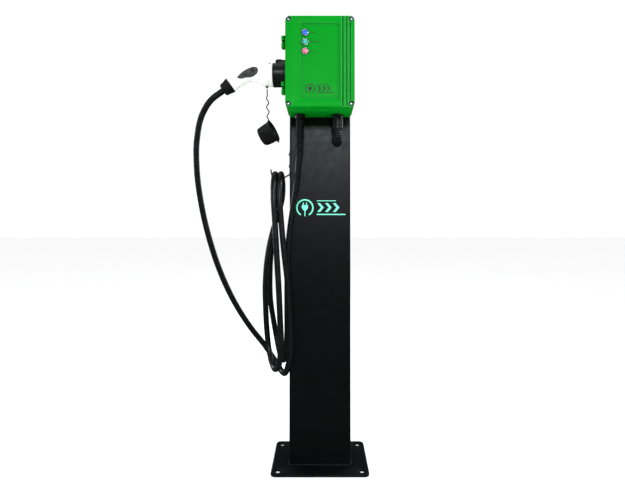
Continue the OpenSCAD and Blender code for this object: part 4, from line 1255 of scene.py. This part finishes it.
class MakeHolster(bpy.types.Operator):
    """Make the holster and its screws"""

    bl_idname = "charging_post.make_holster"
    bl_label = "Holster"

    def execute(self, context):
        wall = -BOX_W / 2
        length = wall - MOUTH_X
        mesh = bmesh.new()
        lathe(mesh, [(11.5, 0), (39.2, 0), (40, 0.8), (40, 3.2), (39, 4), (37.6, 4.4), (37, 5.2),
                     (36.6, length - 12), (37, length - 10), (37, length - 1), (36.2, length),
                     (33.8, length), (33, length - 0.8), (33, 5), (32, 4), (11.5, 4)],
              facing((wall, GUN_Y, GUN_Z), (-1, 0, 0)), steps=96, closed=True)
        top = HOLSTER_HIGH.z
        soft_box(mesh, (MOUTH_X + 8, GUN_Y - 13, GUN_Z + 33.6), (wall - 0.5, GUN_Y + 13, top - 3),
                 1.6)
        soft_box(mesh, (MOUTH_X + 12, GUN_Y - 10, GUN_Z + 36), (MOUTH_X + 28, GUN_Y + 10, top), 1.2)
        for k in range(3):
            rib = MOUTH_X + 30.5 + 3.6 * k
            soft_box(mesh, (rib, GUN_Y - 8, top - 4), (rib + 1.6, GUN_Y + 8, top - 2.3), 0.4)
        piece("holster_body", mesh, moulded_black(), "post", ["holster"])
        screw_ring_r = 22
        mesh = bmesh.new()
        for k in range(4):
            a = math.radians(45 + 90 * k)
            y, z = GUN_Y + screw_ring_r * math.cos(a), GUN_Z + screw_ring_r * math.sin(a)
            screw(mesh, (wall - 4, y, z), (-1, 0, 0), 3.6, 2.2, 2, 12, 1.5)
            lathe(mesh, [(2, 0), (3.6, 0), (4, 0.4), (4, 2.8), (3.6, 3.2), (2, 3.2)],
                  facing((wall + 3, y, z), (1, 0, 0)), steps=6, closed=True)
        piece("holster_fixings", mesh, zinc(), "post", ["holster_screws"])
        return {"FINISHED"}


def spline(table, t):
    """Row of a table at a smooth share of the way, through its rows."""
    i = min(int(t), len(table) - 2)
    f = t - i
    rows = [table[max(0, min(len(table) - 1, i + k))] for k in (-1, 0, 1, 2)]
    return [0.5 * (2 * b + (c - a) * f + (2 * a - 5 * b + 4 * c - d) * f * f
                   + (3 * b - a - 3 * c + d) * f ** 3)
            for a, b, c, d in zip(*rows)]


def connector_point(row, angle, grow=0.0):
    """Point on the connector's surface at one section, grown outwards."""
    reach, height, heading, half_w, half_h = row
    up = (half_h + grow) * math.cos(angle)
    heading = math.radians(heading)
    return Vector((MOUTH_X - reach - up * math.sin(heading),
                   GUN_Y + (half_w + grow) * math.sin(angle),
                   GUN_Z + height + up * math.cos(heading)))


class MakeConnector(bpy.types.Operator):
    """Make the connector: shells, grip pads, nose, screws and boot"""

    bl_idname = "charging_post.make_connector"
    bl_label = "Connector"

    def execute(self, context):
        rows = [spline(CONNECTOR, (len(CONNECTOR) - 1) * k / 88) for k in range(89)]
        for side, name, node in ((-1, "connector_shell_front", "gun_shell_front"),
                                 (1, "connector_shell_rear", "gun_shell_rear")):
            self.shell(rows, side, name, node)
        self.grips(rows)
        dress("gun_nose", moulded_black())
        dress("gun_contacts", brass())
        mesh = bmesh.new()
        for x, z, y in ((-10, 30.5, 20), (-13, -26, 23), (-121, -33, 18.5)):
            screw(mesh, (MOUTH_X + x, GUN_Y - y + 1.4, GUN_Z + z), (0, -1, 0), 1.9, 1.2, 1.2, 3,
                  0.9, domed=0.2)
        piece("connector_screws", mesh,
              finish("screw_dark", (0.16, 0.165, 0.17), 0.35, metallic=1.0), "gun",
              ["gun_screws"])
        self.boot()
        self.stud()
        return {"FINISHED"}

    def stud(self):
        low, high = span("lanyard_stud")
        tall = high.z - low.z
        mesh = bmesh.new()
        lathe(mesh, [(0, 0), (2, 0), (2.6, 0.6), (2.6, 1.8), (4.2, 2), (4.5, 2.3), (4.5, 3.2),
                     (4.2, 3.5), (2.6, 3.6), (2.6, tall), (0, tall)],
              Matrix.Translation((PIVOT.x, PIVOT.y, low.z)), steps=32)
        piece("lanyard_eye", mesh, rubber_black(), "gun", ["lanyard_stud"])

    def shell(self, rows, side, name, node):
        """Half of the connector's hollow shell, with its two ends drawn in a little."""
        count, seam, wall = 40, 0.004, 3
        rings = []
        for j, row in enumerate(rows):
            ease = {0: 0.8, 1: 0.25}.get(min(j, len(rows) - 1 - j), 0.0)
            angles = [side * (seam + (math.pi - 2 * seam) * k / count) for k in range(count + 1)]
            outer = [connector_point(row, a, -ease) for a in angles]
            inner = [connector_point(row, a, -wall) for a in reversed(angles)]
            rings.append(outer + inner)
        mesh = bmesh.new()
        made = [[mesh.verts.new(p) for p in ring] for ring in rings]
        for a, b in zip(made, made[1:]):
            bridge(mesh, a, b)
        for ring in (made[0], made[-1]):
            size = len(ring)
            for k in range(count):
                mesh.faces.new((ring[k], ring[k + 1], ring[size - 2 - k], ring[size - 1 - k]))
        piece(name, mesh, shell_white(), "gun", [node], sharp=50)

    def grips(self, rows):
        solid = bmesh.new()
        loft(solid,
             [[connector_point(row, 2 * math.pi * k / 96) for k in range(96)] for row in rows])
        bmesh.ops.triangulate(solid, faces=solid.faces)
        tree = BVHTree.FromBMesh(solid)
        outline = smooth_line([(x, 0, z) for x, z in GRIP_OUTLINE + GRIP_OUTLINE[:1]], 2.0)[:-1]
        middle = sum(outline, Vector()) / len(outline)

        def landing(side, x, z):
            """Point of the connector straight beside a spot, and the way its surface faces."""
            start = Vector((MOUTH_X + x, GUN_Y + side * 80, GUN_Z + z))
            hit, normal = tree.ray_cast(start, Vector((0, -side, 0)))[:2]
            if hit is None:
                raise RuntimeError("a grip point misses the connector")
            return hit, -normal if normal.y * side < 0 else normal

        levels = [(1.0, -0.6), (1.0, 0.25), (0.985, 0.6), (0.95, 0.85), (0.88, 0.95), (0.7, 1.0),
                  (0.45, 1.0), (0.2, 1.0), (0.02, 1.0)]
        pads, buttons = bmesh.new(), bmesh.new()
        for side in (-1, 1):
            rings = []
            for share, out in levels:
                ring = []
                for p in outline:
                    flat = middle.lerp(p, share)
                    hit, normal = landing(side, flat.x, flat.z)
                    ring.append(hit + normal * out)
                rings.append(ring)
            loft(pads, rings)
            lathe(buttons, [(0, 0.2), (3.4, 0.2), (3.8, 1.1), (3.5, 1.4), (2.6, 1.45), (2.2, 1.15),
                            (0, 1.1)], facing(*landing(side, -62, 5.5)), steps=36)
        solid.free()
        piece("grip_pads", pads, grip_grey(), "gun", ["grip_inlays"])
        piece("grip_buttons", buttons, moulded_black(), "gun")

    def boot(self):
        start = Vector((MOUTH_X - BOOT_REACH, GUN_Y, GUN_Z - BOOT_DROP))
        heading = math.radians(BOOT_HEADING)
        place = facing(start, (-math.cos(heading), 0, -math.sin(heading)))
        mesh = bmesh.new()
        lathe(mesh, [(0, 0.1), (23.4, 0.1), (24.4, 0.3), (24.6, 0.9), (24.2, 2.4), (23.2, 6),
                     (21.9, 11), (20.8, 17), (20, 22), (19.4, 25.2), (18.2, 28), (15.8, 30.2),
                     (13.6, 31), (11.8, 31), (10.6, 30.4), (10.1, 29), (10.1, 16), (0, 16)],
              place, steps=72)
        piece("connector_boot", mesh, rubber_black(), "gun", ["gun_boot"], sharp=42)


# ---- Panel and run -----------------------------------------------------------------------------

OPERATORS = (MakeStage, MakeCable, MakeCap, MakeFoot, MakeColumn, MakeHook, MakeBox, MakeLid,
             MakeEquipment, MakeGlands, MakeHolster, MakeConnector)


class ChargingPostPanel(bpy.types.Panel):
    """Lists the makers of the charging post's pieces"""

    bl_idname = "VIEW3D_PT_charging_post"
    bl_label = "Charging Post"
    bl_space_type = "VIEW_3D"
    bl_region_type = "UI"
    bl_category = "Charging Post"

    def draw(self, context):
        scene = context.scene
        for group in (scene.charging_post_sizes, scene.charging_post_colours):
            for name in group.__annotations__:
                self.layout.prop(group, name)
        for maker in OPERATORS:
            self.layout.operator(maker.bl_idname)


CLASSES = (PostSizes, PostColours, *OPERATORS, ChargingPostPanel)


def register():
    for item in CLASSES:
        bpy.utils.register_class(item)
    bpy.types.Scene.charging_post_sizes = bpy.props.PointerProperty(type=PostSizes)
    bpy.types.Scene.charging_post_colours = bpy.props.PointerProperty(type=PostColours)


def unregister():
    del bpy.types.Scene.charging_post_sizes
    del bpy.types.Scene.charging_post_colours
    for item in reversed(CLASSES):
        bpy.utils.unregister_class(item)


def main():
    register()
    for maker in OPERATORS:
        getattr(bpy.ops.charging_post, maker.bl_idname.split(".")[1])()


if __name__ == "__main__":
    main()
